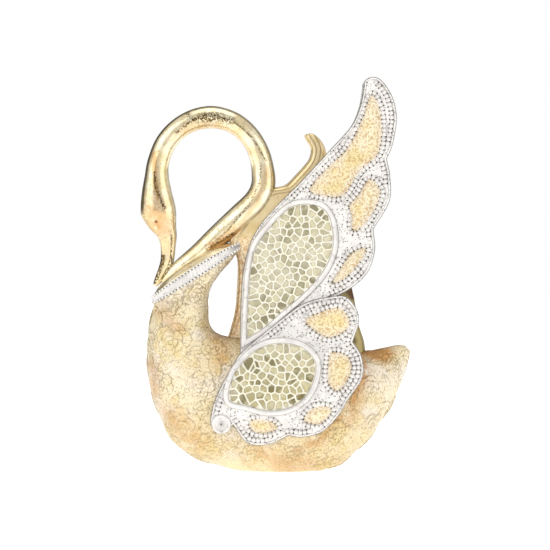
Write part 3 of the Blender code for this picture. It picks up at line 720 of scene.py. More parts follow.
band_angles = turns(BAND_SIDES)
band_table = smooth_rows([band_row(share, rise * BAND_RISE) for share, rise in BAND_PROFILE], BAND_STEPS)
band_points = rounded_ring(band_table, BODY_SQUARENESS, band_angles)
band_out = band_points - band_points.mean(1, keepdims=True)
band_out /= np.linalg.norm(band_out, axis=2, keepdims=True)
flute_share = np.sin(np.linspace(0, np.pi, len(band_table))) ** 0.5
flutes = np.cos(BAND_FLUTES * band_angles) * FLUTE_DEPTH
band_points = band_points + band_out * (flute_share[:, None] * flutes[None])[:, :, None]
band_mesh = skin("collar_band", band_points, closed=False)
keep_values(band_mesh, "tarnish_and_painted_shade", painted(band_points.reshape(-1, 3), BAND_TARNISH))
for row in SHADED_BEAD_ROWS:
    for face in band_mesh.polygons[row * BAND_SIDES:(row + 1) * BAND_SIDES]:
        face.material_index = 1

bead_places, bead_frames = [], []
for share in BAND_BEAD_SHARES:
    ring = rounded_ring(band_row(share, BAND_BEAD_RISE)[None], BODY_SQUARENESS, band_angles)[0]
    for place in spaced(ring, BAND_BEAD_PITCH):
        outward = Vector(place - ring.mean(0))
        bead_places.append(place)
        bead_frames.append(np.array(outward.to_track_quat("Z", "Y").to_matrix()).T)
points, faces = scattered(bead_shape(BAND_BEAD_RADIUS), bead_places, bead_frames)
band_bead_mesh = bpy.data.meshes.new("collar_beads")
band_bead_mesh.from_pydata((points * MM).tolist(), [], faces)
band_bead_mesh.shade_smooth()

silver = new_finish("silver_white", Roughness=0.36, Metallic=0.25, Specular_IOR_Level=0.5)
into_shader(
    silver,
    Base_Color=layered(silver, colour(221, 217, 213), SILVER_LAYERS),
    Normal=grained(silver, scale=420, detail=3, depth=0.12, strength=0.5),
)
# dark silver for painted shade between the beads
dark_silver = new_finish("painted_shade_silver", Roughness=0.6, Metallic=0.3)
into_shader(
    dark_silver,
    Base_Color=layered(dark_silver, colour(52, 52, 50), DARK_SILVER_LAYERS),
    Normal=grained(dark_silver, scale=600, detail=2, depth=0.1),
)
stippled_silver, plain_silver = copied(silver, "stippled_silver")
dots = step_between(stippled_silver, cells(stippled_silver, STIPPLE_SCALE), *STIPPLE_DOTS)
into_shader(stippled_silver, Base_Color=layered(stippled_silver, plain_silver, STIPPLE_LAYERS, dots=dots))
piece_of("collar_band", band_mesh, "silver_frame", silver, dark_silver)
piece_of("collar_beads", band_bead_mesh, "silver_frame", silver)


# Neck, head and beak: one gold-leafed loop that rises from the collar, turns over and comes down to
# lay the beak's tip on the front of the collar. The leaf is worn, with darker size showing through; its
# dark streaks are partly that wear and partly painted reflection, and dark lines of painted shade run
# down its outer and inner sides.
NECK_POINTS = (
    # x, z, radius
    (-69.5, 116.8, 2.6), (-60.5, 124.4, 4.9), (-48.0, 133.6, 6.2), (-36.0, 144.5, 7.1), (-21.5, 157.5, 7.7),
    (-10.5, 168.0, 7.9), (-7.0, 181.0, 7.3), (-12.0, 201.5, 6.4), (-25.0, 215.0, 6.6),
    (-41.0, 218.8, 7.0), (-56.5, 214.2, 6.5), (-67.5, 203.5, 6.6), (-72.3, 191.5, 6.7),
    (-73.5, 183.0, 7.3), (-73.5, 173.5, 9.0), (-72.7, 164.0, 10.7), (-72.2, 158.0, 10.9),
    (-70.0, 151.0, 8.6), (-67.0, 145.0, 6.1), (-66.4, 137.5, 4.6), (-67.0, 129.5, 4.1),
    (-69.8, 122.6, 3.4), (-72.8, 117.4, 2.4), (-74.8, 114.4, 1.1),
)
NECK_STEPS = 16
NECK_SMOOTHING = 30
NECK_SIDES = 96
FIRST_HEAD_POINT = 11
HEAD_TOP_HEIGHT = 186.0
HEAD_WIDEST_HEIGHT = 160.0
HEAD_WIDTH_SHARE = 0.76
LEVEL_SHARE = 0.8
LEVEL_HEIGHT = 128.0
LEVEL_FADE = 12.0
BEAK_TOP_HEIGHT = 152.0
BEAK_TOP_FADE = 10.0
BEAK_TIP_HEIGHT = 115.0
BEAK_TIP_FADE = 6.0
BEAK_GROOVE = 0.55
GROOVE_PLACE = 0.86
GROOVE_WIDTH = 0.09
EYE_PLACE = (-73.7, 154.1)
EYE_RADIUS = 1.0
EYE_FLATNESS = 0.45
SOCKET_DEPTH = 0.5
SOCKET_RADIUS = 3.4
DENT_SIZE = 11
FINE_DENTS = 2.3
FINE_DENT_SHARE = 0.5
LEAF_UNEVENNESS = 0.16
DARK_LINES = (
    # the outer and the inner line of painted shade: the cosine round the neck where it starts, its
    # fade, and its share where it is strong and where it is weak
    (0.74, 0.12, 0.95, 0.45),
    (0.88, 0.08, 0.9, 0.5),
)
OUTER_STRONG_ABOVE = 159
INNER_STRONG_BELOW = 147
LOW_LIMB = (-50, 185)
NECK_WEAR_AND_PAINTED_REFLECTION = (
    # half the width, strength, and the line (x, z) of each dark streak, partly wear and partly painted
    # reflection
    (3.3, 1.3, ((-44, 218), (-34, 218))),
    (2.2, 1.2, ((-50, 217), (-37.4, 218), (-27, 216))),
    (1.1, 1.1, ((-61, 209), (-51, 216.5), (-54.5, 221))),
    (0.6, 1.0, ((-27, 216), (-22, 213), (-13.8, 205.2), (-5.8, 191.6))),
    (1.1, 1.3, ((-74.6, 184), (-73.5, 174.5), (-68.4, 162.4))),
    (0.7, 0.9, ((-8.9, 189.1), (-9.5, 178.6), (-16.3, 164.3), (-28.7, 149.4), (-39.9, 138.9))),
    (0.9, 1.2, ((-42.3, 137), (-33, 142.6), (-26.8, 146.3), (-19.4, 145.1))),
    (0.8, 0.7, ((-0.2, 173.6), (-5.1, 164.3), (-12.6, 156.9), (-18.2, 148.8))),
    (1.5, 2.2, ((-69.8, 132), (-70.6, 128), (-72.6, 122.6), (-74.8, 117))),
    (0.5, 1.4, ((-63.6, 134), (-64.6, 128), (-67.5, 122), (-70.5, 118))),
)
NECK_BLUSH = (
    # the same, where the leaf is rubbed to a brown blush
    (2.0, 0.9, ((-74.6, 196), (-74.4, 184), (-72.5, 168))),
    (2.2, 0.6, ((-5.1, 187.9), (-5.8, 178.6), (-12.6, 164.3), (-21.3, 152.5), (-33, 144))),
    (2.6, 0.5, ((-64, 204), (-54, 212), (-41, 213.5), (-26, 209), (-16, 197))),
    (9.0, 0.85, ((-74, 160), (-70.5, 150))),
    (3.5, 1.0, ((-73.7, 156), (-71.5, 150))),
    (3.0, 0.3, ((-68, 146), (-67, 131))),
    (2.6, 1.4, ((-40, 138.5), (-30, 143.5), (-20, 148))),
)
LEAF_LAYERS = (
    ((250, 240, 210), None, (95, 4, 0.6, 0.35, 0.68)),
    ((208, 160, 104), "blush", (300, 3, 0.5, 0.22, 0.52, 0, 0.9)),
    ((132, 106, 60), "wear", (520, 4, 0.7, 0.54, 0.66, 0, 0.6)),
    # painted shade lines down the neck's outer and inner sides
    ((118, 102, 62), "painted_shade_lines", 0.85),
    # dark streaks, partly wear and partly painted reflection
    ((96, 76, 38), "tarnish_and_painted_shade", (1000, 3, 0.5, 0.38, 0.56)),
)
# noise as in the layers
LEAF_WEAR = (70, 2, 0.5, 0.4, 0.6)
LEAF_ROUGHNESS = (200, 3, 0.5, 0.3, 0.7, 0.13, 0.26)
DOME_FOOT = (0.9, -0.4)  # share of the band's height, rise over its face
DOME_STEPS = 4
DOME_SIDES = 96

neck_rows = smooth_rows(NECK_POINTS, NECK_STEPS)
for _ in range(NECK_SMOOTHING):
    neck_rows[1:-1] = (neck_rows[:-2] + 2 * neck_rows[1:-1] + neck_rows[2:]) / 4
neck_path, neck_radius = neck_rows[:, :2], neck_rows[:, 2]
neck_way = np.gradient(neck_path, axis=0)
neck_way /= np.linalg.norm(neck_way, axis=1, keepdims=True)
neck_side = np.stack([-neck_way[:, 1], neck_way[:, 0]], 1)
neck_angles = turns(NECK_SIDES)
on_head = np.arange(len(neck_rows)) > FIRST_HEAD_POINT * NECK_STEPS
head_share = soft_step((HEAD_TOP_HEIGHT - neck_path[:, 1]) / (HEAD_TOP_HEIGHT - HEAD_WIDEST_HEIGHT)) * on_head
level_share = LEVEL_SHARE * head_share * soft_step((neck_path[:, 1] - LEVEL_HEIGHT) / LEVEL_FADE)
neck_side = neck_side * (1 - level_share[:, None]) + np.array([1.0, 0.0]) * level_share[:, None]
neck_side /= np.linalg.norm(neck_side, axis=1, keepdims=True)
width_share = 1 - (1 - HEAD_WIDTH_SHARE) * head_share
beak_share = soft_step((BEAK_TOP_HEIGHT - neck_path[:, 1]) / BEAK_TOP_FADE) * on_head
beak_share *= soft_step((neck_path[:, 1] - BEAK_TIP_HEIGHT) / BEAK_TIP_FADE)
groove_shape = np.exp(-((np.abs(np.sin(neck_angles)) - GROOVE_PLACE) / GROOVE_WIDTH) ** 2)
neck_radii = neck_radius[:, None] - BEAK_GROOVE * beak_share[:, None] * groove_shape[None]
neck_rings = np.zeros((len(neck_rows), NECK_SIDES, 3))
neck_rings[:, :, 0] = neck_path[:, :1] + neck_radii * np.cos(neck_angles) * neck_side[:, :1]
neck_rings[:, :, 2] = neck_path[:, 1:] + neck_radii * np.cos(neck_angles) * neck_side[:, 1:]
neck_rings[:, :, 1] = neck_radii * np.sin(neck_angles) * width_share[:, None]
for point in neck_rings.reshape(-1, 3):
    middle = Vector(point / DENT_SIZE)
    point += LEAF_UNEVENNESS * (noise.noise(middle) + FINE_DENT_SHARE * noise.noise(middle * FINE_DENTS))
eye_distance = np.hypot(neck_rings[:, :, 0] - EYE_PLACE[0], neck_rings[:, :, 2] - EYE_PLACE[1])
socket_depth = SOCKET_DEPTH * np.exp(-((eye_distance / SOCKET_RADIUS) ** 2))
neck_rings[:, :, 1] -= np.sign(neck_rings[:, :, 1]) * socket_depth
neck_mesh = skin("neck_and_head", neck_rings)
cosine = np.cos(neck_angles)[None]
height = neck_path[:, 1:]
low_limb = (neck_path[:, :1] > LOW_LIMB[0]) & (height < LOW_LIMB[1])
strong_places = (height > OUTER_STRONG_ABOVE, (height < INNER_STRONG_BELOW) | low_limb)
painted_shade_lines = np.zeros((len(neck_rows), NECK_SIDES))
for facing, strong, (start, fade, most, least) in zip((-cosine, cosine), strong_places, DARK_LINES):
    painted_shade_lines = np.maximum(painted_shade_lines, soft_step((facing - start) / fade) * np.where(strong, most, least))
groove_line = beak_share[:, None] * groove_shape[None] * (cosine > 0)
# painted shade down the outer and inner sides of the tube
keep_values(neck_mesh, "painted_shade_lines", painted_shade_lines.ravel())
neck_places = neck_rings.reshape(-1, 3)
# dark streaks, partly wear and partly painted reflection
keep_values(neck_mesh, "tarnish_and_painted_shade", np.maximum(painted(neck_places, NECK_WEAR_AND_PAINTED_REFLECTION), groove_line.ravel()))
keep_values(neck_mesh, "blush", painted(neck_places, NECK_BLUSH))

gold_leaf = new_finish("gold_leaf", Roughness=0.2, Metallic=0.8)
wear = patches(gold_leaf, *LEAF_WEAR)
into_shader(
    gold_leaf,
    Base_Color=layered(gold_leaf, colour(236, 217, 172), LEAF_LAYERS, wear=wear),
    Roughness=patches(gold_leaf, *LEAF_ROUGHNESS),
    Normal=grained(gold_leaf, scale=700, detail=4, depth=0.1, strength=0.7, roughness=0.7),
)
piece_of("neck_and_head", neck_mesh, "gold_leaf", gold_leaf)

dome_top = band_row(1.0, 0.0)
dome_rows = [band_row(*DOME_FOOT)]
belly, back = dome_top[:2], dome_top[2:4]
across = (belly - back) / np.linalg.norm(belly - back)
for share, lift in COLLAR_DOME:
    middle = (belly + back) / 2 + np.array([across[1], -across[0]]) * lift
    half = (belly - back) / 2 * share
    dome_rows.append([*(middle + half), *(middle - half), dome_top[4] * share, dome_top[5] * share])
dome_rings = rounded_ring(smooth_rows(dome_rows, DOME_STEPS), BODY_SQUARENESS, turns(DOME_SIDES))
piece_of("neck_root", skin("neck_root", dome_rings), "gold_leaf", gold_leaf)

eye_paint = new_finish("eye_paint", Base_Color=colour(150, 88, 48), Roughness=0.3)
for side, side_name in ((-1, "left"), (1, "right")):
    distance = np.where(neck_rings[:, :, 1] * side < 0, np.inf, eye_distance)
    anchor = np.unravel_index(np.argmin(distance), distance.shape)
    clear_selection()
    bpy.ops.mesh.primitive_uv_sphere_add(segments=20, ring_count=12, radius=EYE_RADIUS * MM)
    eye = bpy.context.object
    bpy.ops.object.mode_set(mode="EDIT")
    bpy.ops.mesh.select_all(action="SELECT")
    bpy.ops.transform.resize(value=(1, EYE_FLATNESS, 1))
    bpy.ops.transform.translate(value=Vector(neck_rings[anchor]) * MM)
    bpy.ops.object.mode_set(mode="OBJECT")
    eye_mesh = eye.data
    eye_mesh.transform(eye.matrix_world)
    eye_mesh.shade_smooth()
    bpy.data.objects.remove(eye, do_unlink=True)
    piece_of(side_name + "_eye", eye_mesh, "gold_leaf", eye_paint)


# Plume: the gold blade that stands between the wings, with dark lines along its front edge and a tip
# that curls forward. Below the neck it turns to the tan lace of the body.
# Its rear bulge is painted darker olive, with dark spots on it: painted shade.
PLUME_RIBS = (
    # front end (x, z), rear end (x, z), half the thickness
    (17.9, 207.3, 19.3, 208.2, 0.9, 0.0),
    (18.8, 204.6, 23.2, 208.4, 2.4, 0.0),
    (21.0, 201.2, 27.7, 204.9, 3.4, 0.0),
    (22.0, 197.8, 31.0, 199.0, 4.0, 0.0),
    (21.0, 193.4, 32.4, 190.4, 4.4, 0.0),
    (18.4, 189.4, 34.6, 179.8, 4.8, 0.0),
    (12.8, 183.2, 37.6, 167.4, 5.2, 0.0),
    (5.4, 176.4, 41.4, 151.9, 5.5, 0.0),
    (-8.2, 173.0, 43.8, 136.4, 5.5, 0.0),
    (-19.0, 160.0, 45.7, 124.0, 5.5, 0.0),
    (-29.0, 145.0, 47.6, 112.4, 5.5, 0.0),
    (-25.6, 136.4, 49.4, 104.2, 5.5, 0.0),
    (-23.4, 128.0, 50.2, 98.6, 5.5, 0.0),
    (-23.8, 112.0, 50.9, 92.6, 6.0, 0.0),
    (-25.2, 98.0, 53.2, 85.6, 7.0, 0.0),
    (-28.0, 87.0, 55.4, 77.8, 8.5, 0.0),
    (-31.0, 74.0, 55.0, 68.0, 9.0, 0.0),
    (-24.0, 56.0, 46.0, 56.0, 9.0, 0.0),
)
PLUME_SQUARENESS = 3.0
PLUME_STEPS = 8
PLUME_SIDES = 120
PLUME_LINES = (1.3, 3.4, 6.0)
PLUME_LINE_WIDTH = 0.4
PLUME_LINE_SHARE = 0.75
PLUME_SHADE_SPOTS = (
    # half the width, strength, and the line (x, z) of each dark spot of painted shade
    (2.6, 1.6, ((45, 113), (48, 108))),
    (1.6, 0.9, ((47, 84), (49, 80))),
)
PLUME_LAYERS = (
    # the rear bulge, painted darker: painted shade
    ((138, 126, 74), "bulge", 0.8),
    # the dark lines along the front edge, and the spots of painted shade
    ((84, 58, 30), "hollow", 0.9),
)
GILT_SHARE = 0.5
# metres
LACE_HEIGHTS = (0.152, 0.14)
LACE_FRONT = (0.026, 0.018)
BULGE_FRONT = (0.03, 0.042)
BULGE_HEIGHTS = (0.15, 0.135)
PLUME_LACE_SCALE = 600
PLUME_LACE_DOTS = (0.35, 0.75)
PLUME_METALLIC = (0.55, 0.1)

plume_table = smooth_rows(PLUME_RIBS, PLUME_STEPS)
plume_rings = rounded_ring(plume_table, PLUME_SQUARENESS, turns(PLUME_SIDES))
plume_mesh = skin("plume", plume_rings)
from_front = np.linalg.norm((plume_rings - plume_rings[:, :1])[:, :, (0, 2)], axis=2).ravel()
# dark spots of painted shade, and dark lines along the front edge
plume_lines_and_shade = painted(plume_rings.reshape(-1, 3), PLUME_SHADE_SPOTS)
for depth in PLUME_LINES:
    line = np.exp(-((from_front - depth) / PLUME_LINE_WIDTH) ** 2)
    plume_lines_and_shade = np.maximum(plume_lines_and_shade, PLUME_LINE_SHARE * line)
keep_values(plume_mesh, "hollow", plume_lines_and_shade)
plume_gold, leafed = copied(gold_leaf, "plume_gold")
plume_place = place_in(plume_gold)
low = step_between(plume_gold, plume_place["Z"], *LACE_HEIGHTS)
low = times(plume_gold, low, step_between(plume_gold, plume_place["X"], *LACE_FRONT))
# the rear bulge, darkened as painted shade
bulge = step_between(plume_gold, plume_place["X"], *BULGE_FRONT)
bulge = times(plume_gold, bulge, step_between(plume_gold, plume_place["Z"], *BULGE_HEIGHTS))
lace_dots = step_between(plume_gold, cells(plume_gold, PLUME_LACE_SCALE), *PLUME_LACE_DOTS)
lace_tan = mixed(plume_gold, lace_dots, colour(246, 224, 184), colour(216, 178, 128))
gilt = mixed(plume_gold, GILT_SHARE, leafed, colour(226, 190, 112))
plume_tone = mixed(plume_gold, low, gilt, lace_tan)
into_shader(
    plume_gold,
    Base_Color=layered(plume_gold, plume_tone, PLUME_LAYERS, bulge=bulge),
    Metallic=step_between(plume_gold, low, 0.0, 1.0, *PLUME_METALLIC),
)
piece_of("plume", plume_mesh, "gold_leaf", plume_gold)


# Wings: each is cast flat-backed in two overlapping tiers of feathers and stands up from the flank.
# The plates are silvered, each lobe holds a sunk cell of rough gold inside rows of beads, and a
# smooth raised frame runs round each mosaic. The right wing is the left one mirrored.
UPPER_WING = (
    (-21.5, 73, 1), (-21.5, 93), (-20.5, 118), (-17, 136.5), (-10.5, 150.5), (0, 163), (15.5, 178.5),
    (34, 198.5), (46.5, 212.5), (51.8, 224), (54, 235), (54.8, 240.2), (59.4, 242.6), (64.7, 240.7),
    (70.6, 232.5), (73.6, 223), (74, 214), (71.5, 200.5), (68, 192, 1), (70, 181.5), (69.4, 166),
    (59.6, 149.2, 1), (60.4, 136), (55.2, 122), (43, 111.5), (31, 105.5, 1),
)
LOWER_WING = (
    (-26, 66.5), (-22, 73), (-12, 82), (3, 94), (17, 104), (31, 108), (42.5, 108.5), (49.5, 100.5),
    (50.5, 92), (47, 81, 1), (52.5, 72), (53, 59), (44, 45.5, 1), (39, 37), (29, 26.5), (17, 23),
    (8, 24, 1), (-4.5, 18.5), (-17, 19.5), (-25.5, 30.5, 1), (-33, 25), (-39.2, 31), (-37.5, 43.5),
    (-32.5, 55),
)
UPPER_PANEL = (
    (-17.5, 82.5, 1), (-17, 102.5), (-15.5, 124), (-11.5, 139.5), (-2, 152), (9, 162.5), (20.5, 164.5),
    (30, 161), (34.5, 151), (34.5, 136.5), (29, 124), (18, 111), (3, 98), (-8, 88.5),
)
LOWER_PANEL = (
    (-28, 46), (-26, 59), (-20, 68.5), (-10.5, 76.5), (2, 80), (15, 78), (23.5, 70.5), (24, 61),
    (19, 49), (9, 41.5), (-4.5, 39.5), (-17, 42.5),
)
UPPER_CELLS = (
    ((58.8, 231.5), (64.2, 221.5), (65, 206), (62, 194), (51.5, 185), (41.5, 170), (29, 170),
     (21, 173.5), (31, 186), (44.5, 199.5), (53, 216)),
    ((57.5, 180), (64, 172.5), (61, 162.5), (53, 151), (47, 148.5), (46.5, 158), (45, 163.5),
     (51, 170.5)),
    ((55, 138), (52, 130), (42.5, 119.5), (34.5, 116.5), (39.5, 125), (46, 134.5)),
)
LOWER_CELLS = (
    ((18.5, 94), (27.5, 99), (39, 101.5), (45, 94), (42.5, 87.5), (32.5, 83.5), (23, 88)),
    ((34, 74.5), (43, 73), (46.5, 65.5), (43, 56), (37.5, 51), (32, 56), (32, 67)),
    ((17, 33.5), (23, 41), (32.5, 41.5), (33.5, 37), (26.5, 31)),
    ((-15, 33.5), (-8, 34), (0, 31.5), (0.5, 27.5), (-8, 25.5), (-15, 28)),
)
WING_THICKNESS = 6.0
TIER_RISE = 2.4
CELL_DEPTH = 1.5
POCKET_DEPTH = 2.3
OUTLINE_STEPS = 9
FIELD_DROP = 0.5
POCKET_TAPER = 0.25
BACK_DEPTH = 0.05
BACK_PROFILE = ((1.2, 0.0), (0.3, 0.5), (0.0, 1.4))  # inset, height over the back
RIM_PROFILE = (
    # inset from the outline, height over the plate
    (0.0, -1.1), (0.3, -0.42), (0.75, -0.02), (1.25, -0.08), (1.65, -FIELD_DROP), (1.9, -FIELD_DROP),
)
# how dark each loop of a profile is: painted shade at the walls and steps, and the scroll's dark eye
RIM_SHADES = (0.0, 0.3, 0.6, 0.9, 0.7, 0.0, 0.0, 0.45, 0.0)
FRAME_SHADES = (0.7, 0.7, 0.1, 0.0, 0.0, 0.35, 1.0, 0.9)
SCROLL_SHADES = (0.5, 0.2, 0.0, 0.0, 0.05, 0.1, 0.15, 0.3, 0.1, 0.9)
FRAME_PROFILE = (
    # offset from the pocket's edge, height over the plate
    (0.0, -1.6), (0.0, 0.2), (0.45, 0.72), (1.4, 0.9), (2.5, 0.78), (3.2, 0.3), (3.4, -0.6), (3.4, -1.6),
)
SCROLL_CENTRE = (-32.8, 31.0)
SCROLL_PROFILE = (
    # radius, height over the lower tier
    (5.9, -1.6), (5.9, 0.2), (5.3, 0.8), (4.6, 0.8), (4.0, 0.2), (3.6, -0.35), (2.1, -0.4), (1.7, 0.1),
    (1.2, 0.75), (0.5, 0.95),
)
SCROLL_SIDES = 40
FRONT_EDGE = {"x": -20.0, "height": 130.0, "lean": 0.72}
WINGS_APART = {"at_front": 8.4, "slope": 0.36, "tip_height": 165.0, "tip_bend": 0.0016}
FLANK = {"depth": 38.0, "x": -5.0, "x_bend": 0.0020, "height": 45.0, "height_bend": 0.0060}
FLANK_TOP = 55.0
FLANK_FADE = 60.0
ROOT_THICKENING = 10.0
ROOT_TOP = 100.0
ROOT_TOP_FADE = 40.0
ROOT_REAR = 50.0
ROOT_REAR_FADE = 25.0
GRID_STEP = 3.0


def smooth_outline(points):
    """A closed outline through the points, rounded except at the marked corners."""
    count = len(points)
    places = [np.array(point[:2], float) for point in points]
    found = []
    for index in range(count):
        here, after = places[index], places[(index + 1) % count]
        before = here * 2 - after if len(points[index]) > 2 else places[index - 1]
        corner = len(points[(index + 1) % count]) > 2
        beyond = after * 2 - here if corner else places[(index + 2) % count]
        for t in np.arange(OUTLINE_STEPS) / OUTLINE_STEPS:
            bend = (2 * before - 5 * here + 4 * after - beyond) * t * t
            bend = bend + (3 * here - before - 3 * after + beyond) * t**3
            found.append(0.5 * (2 * here + (after - before) * t + bend))
    return np.array(found)


def offset_outline(outline, distance):
    """The outline moved outwards by a distance, or inwards where that is negative."""
    after = np.roll(outline, -1, 0) - outline
    after /= np.linalg.norm(after, axis=1, keepdims=True)
    first = np.roll(after, 1, 0)
    area = np.sum(outline[:, 0] * np.roll(outline[:, 1], -1) - np.roll(outline[:, 0], -1) * outline[:, 1])
    turn = math.copysign(1.0, area)
    normal_a = np.stack([first[:, 1], -first[:, 0]], 1) * turn
    normal_b = np.stack([after[:, 1], -after[:, 0]], 1) * turn
    middle = normal_a + normal_b
    middle /= np.maximum(np.linalg.norm(middle, axis=1, keepdims=True), 1e-6)
    reach = np.maximum(0.5, np.sum(middle * normal_a, 1, keepdims=True))
    return outline + middle * distance / reach


def face_depth(x, height):
    """How far the wing's face stands from the swan's middle plane at a place on the wing."""
    behind_edge = x - FRONT_EDGE["x"] - FRONT_EDGE["lean"] * (height - FRONT_EDGE["height"])
    tip_bend = WINGS_APART["tip_bend"] * np.maximum(0, height - WINGS_APART["tip_height"]) ** 2
    raised = WINGS_APART["at_front"] + WINGS_APART["slope"] * behind_edge + tip_bend
    flank = FLANK["depth"] - FLANK["x_bend"] * (x - FLANK["x"]) ** 2
    flank = flank - FLANK["height_bend"] * (height - FLANK["height"]) ** 2
    share = soft_step((height - FLANK_TOP) / FLANK_FADE)
    return raised * share + flank * (1 - share)


def stood_up(points):
    """Points modelled flat (along, up, out of the face) moved to the left wing's place."""
    along, up, out = points[:, 0], points[:, 1], points[:, 2]
    thicker = ROOT_THICKENING * soft_step((ROOT_TOP - up) / ROOT_TOP_FADE)
    thicker = thicker * soft_step((ROOT_REAR - along) / ROOT_REAR_FADE)
    depth = face_depth(along, up) + out - np.where(out < BACK_DEPTH - WING_THICKNESS, thicker, 0)
    return np.stack([along, -depth, up], 1)


def join_rows(shape, rows):
    """Faces between each closed row of vertices and the next."""
    for lower, upper in zip(rows, rows[1:]):
        for index in range(len(lower)):
            after = (index + 1) % len(lower)
            shape.faces.new((lower[index], lower[after], upper[after], upper[index]))


def loops_to_strip(shape, loops, shades=()):
    """A strip over closed loops of points, with how much painted shade each loop carries."""
    tarnish_and_shade_layer = shape.verts.layers.float.get("tarnish_and_painted_shade") or shape.verts.layers.float.new("tarnish_and_painted_shade")
    rows = []
    for index, (loop, height) in enumerate(loops):
        rows.append([shape.verts.new((*point, height)) for point in loop])
        for vertex in rows[-1]:
            vertex[tarnish_and_shade_layer] = shades[index] if index < len(shades) else 0.0
    join_rows(shape, rows)
    return rows[0], rows[-1]


def loop_edges(shape, row):
    found = []
    for first, second in zip(row, row[1:] + row[:1]):
        found.append(shape.edges.get((first, second)) or shape.edges.new((first, second)))
    return found


def fill_between(shape, rows):
    """Fills the area inside the first loop and outside the others."""
    edges = [edge for row in rows for edge in loop_edges(shape, row)]
    bmesh.ops.triangle_fill(shape, use_beauty=True, use_dissolve=False, edges=edges)


def cut_grid(shape, step):
    """Cuts the flat faces along a grid, so that they bend smoothly."""
    low = np.min([vertex.co[:2] for vertex in shape.verts], 0)
    high = np.max([vertex.co[:2] for vertex in shape.verts], 0)
    for axis in (0, 1):
        normal = (1 - axis, axis, 0)
        for value in np.arange(low[axis] + step / 2, high[axis], step):
            everything = shape.verts[:] + shape.edges[:] + shape.faces[:]
            place = (value * normal[0], value * normal[1], 0)
            bmesh.ops.bisect_plane(shape, geom=everything, plane_co=place, plane_no=normal, dist=1e-4)


def finished(shape, smooth_angle):
    """The left wing's mesh of a flat shape, stood up, and its mirrored copy."""
    bmesh.ops.recalc_face_normals(shape, faces=shape.faces)
    points = stood_up(np.array([vertex.co for vertex in shape.verts]))
    meshes = []
    for side in (1, -1):
        mesh = bpy.data.meshes.new("wing_mesh")
        for vertex, point in zip(shape.verts, points):
            vertex.co = Vector((point[0], point[1] * side, point[2])) * MM
        if side < 0:
            bmesh.ops.reverse_faces(shape, faces=shape.faces)
        shape.to_mesh(mesh)
        mesh.shade_smooth()
        mesh.set_sharp_from_angle(angle=math.radians(smooth_angle))
        meshes.append(mesh)
    shape.free()
    return meshes


def both_wings(name, meshes, slot, *materials):
    """The left and the right piece of a pair. Mosaics have CAD nodes of their own names."""
    for side_name, mesh in zip(("left_", "right_"), meshes):
        mesh.name = side_name + name
        stands_for = side_name + name if name.endswith("_mosaic") else "swan_casting"
        piece_of(side_name + name, mesh, slot, *materials, stands_for=stands_for)


def wing_plate(outline, top, cell_outlines, pocket):
    """One tier of feathers as a closed plate with its rounded rim, sunk cells and mosaic pocket."""
    shape = bmesh.new()
    walls = [(offset_outline(outline, -inset), rise - WING_THICKNESS) for inset, rise in BACK_PROFILE]
    walls += [(offset_outline(outline, -inset), top + rise) for inset, rise in RIM_PROFILE]
    back_row, field_row = loops_to_strip(shape, walls, RIM_SHADES)
    fill_between(shape, [back_row])
    holes = [(cell, CELL_DEPTH) for cell in cell_outlines] + [(pocket, POCKET_DEPTH)]
    hole_rows = []
    for hole, depth in holes:
        field_loop = (hole, top - FIELD_DROP)
        floor_loop = (offset_outline(hole, -POCKET_TAPER), top - depth)
        mouth, base = loops_to_strip(shape, [field_loop, floor_loop])
        fill_between(shape, [base])
        hole_rows.append(mouth)
    fill_between(shape, [field_row, *hole_rows])
    cut_grid(shape, GRID_STEP)
    return finished(shape, smooth_angle=40.0)


upper_outline, lower_outline = smooth_outline(UPPER_WING), smooth_outline(LOWER_WING)
upper_pocket, lower_pocket = smooth_outline(UPPER_PANEL), smooth_outline(LOWER_PANEL)
upper_cells = [smooth_outline(cell) for cell in UPPER_CELLS]
lower_cells = [smooth_outline(cell) for cell in LOWER_CELLS]
upper_plates = wing_plate(upper_outline, 0.0, upper_cells, upper_pocket)
both_wings("upper_feathers", upper_plates, "silver_frame", stippled_silver)
lower_plates = wing_plate(lower_outline, TIER_RISE, lower_cells, lower_pocket)
both_wings("lower_feathers", lower_plates, "silver_frame", stippled_silver)

frames_shape = bmesh.new()
for pocket, top in ((upper_pocket, 0.0), (lower_pocket, TIER_RISE)):
    rows = [(offset_outline(pocket, offset), top + rise) for offset, rise in FRAME_PROFILE]
    loops_to_strip(frames_shape, rows + rows[:1], FRAME_SHADES + FRAME_SHADES[:1])
round_way = np.stack([np.cos(turns(SCROLL_SIDES)), np.sin(turns(SCROLL_SIDES))], 1)
scroll_rows = [(SCROLL_CENTRE + round_way * radius, TIER_RISE + rise) for radius, rise in SCROLL_PROFILE]
scroll_first, scroll_last = loops_to_strip(frames_shape, scroll_rows, SCROLL_SHADES)
frames_shape.faces.new(scroll_first)
frames_shape.faces.new(scroll_last)
bmesh.ops.remove_doubles(frames_shape, verts=frames_shape.verts, dist=1e-4)
both_wings("mosaic_frames", finished(frames_shape, smooth_angle=60.0), "silver_frame", silver)


# Beads: rows of cast balls round every gold cell and, where there is room, along the outer rims. A
# small uneven dark dot lies on either side of the rows between each two balls: painted shade between
# the beads.
BEAD_RADIUS = 1.36
BEAD_PITCH = 2.7
BEAD_CROWDING = 0.86
BEAD_GAP_FROM_CELL = 1.5
BEAD_INSET = 3.2
BEAD_LIFT = 0.2
CLEAR_OF_POCKET = 4.6
CLEAR_OF_LOWER_TIER = 1.0
CLEAR_OF_SCROLL = 7.4
DOT_OFFSET = 1.35
DOT_WANDER = (0.8, 1.1)
DOT_RADIUS = (0.32, 0.68)
DOT_SIDES = 7
DOT_RISE = 0.03
DOTS_LEFT_OUT = 0.22
MOSAIC_SEED = 7


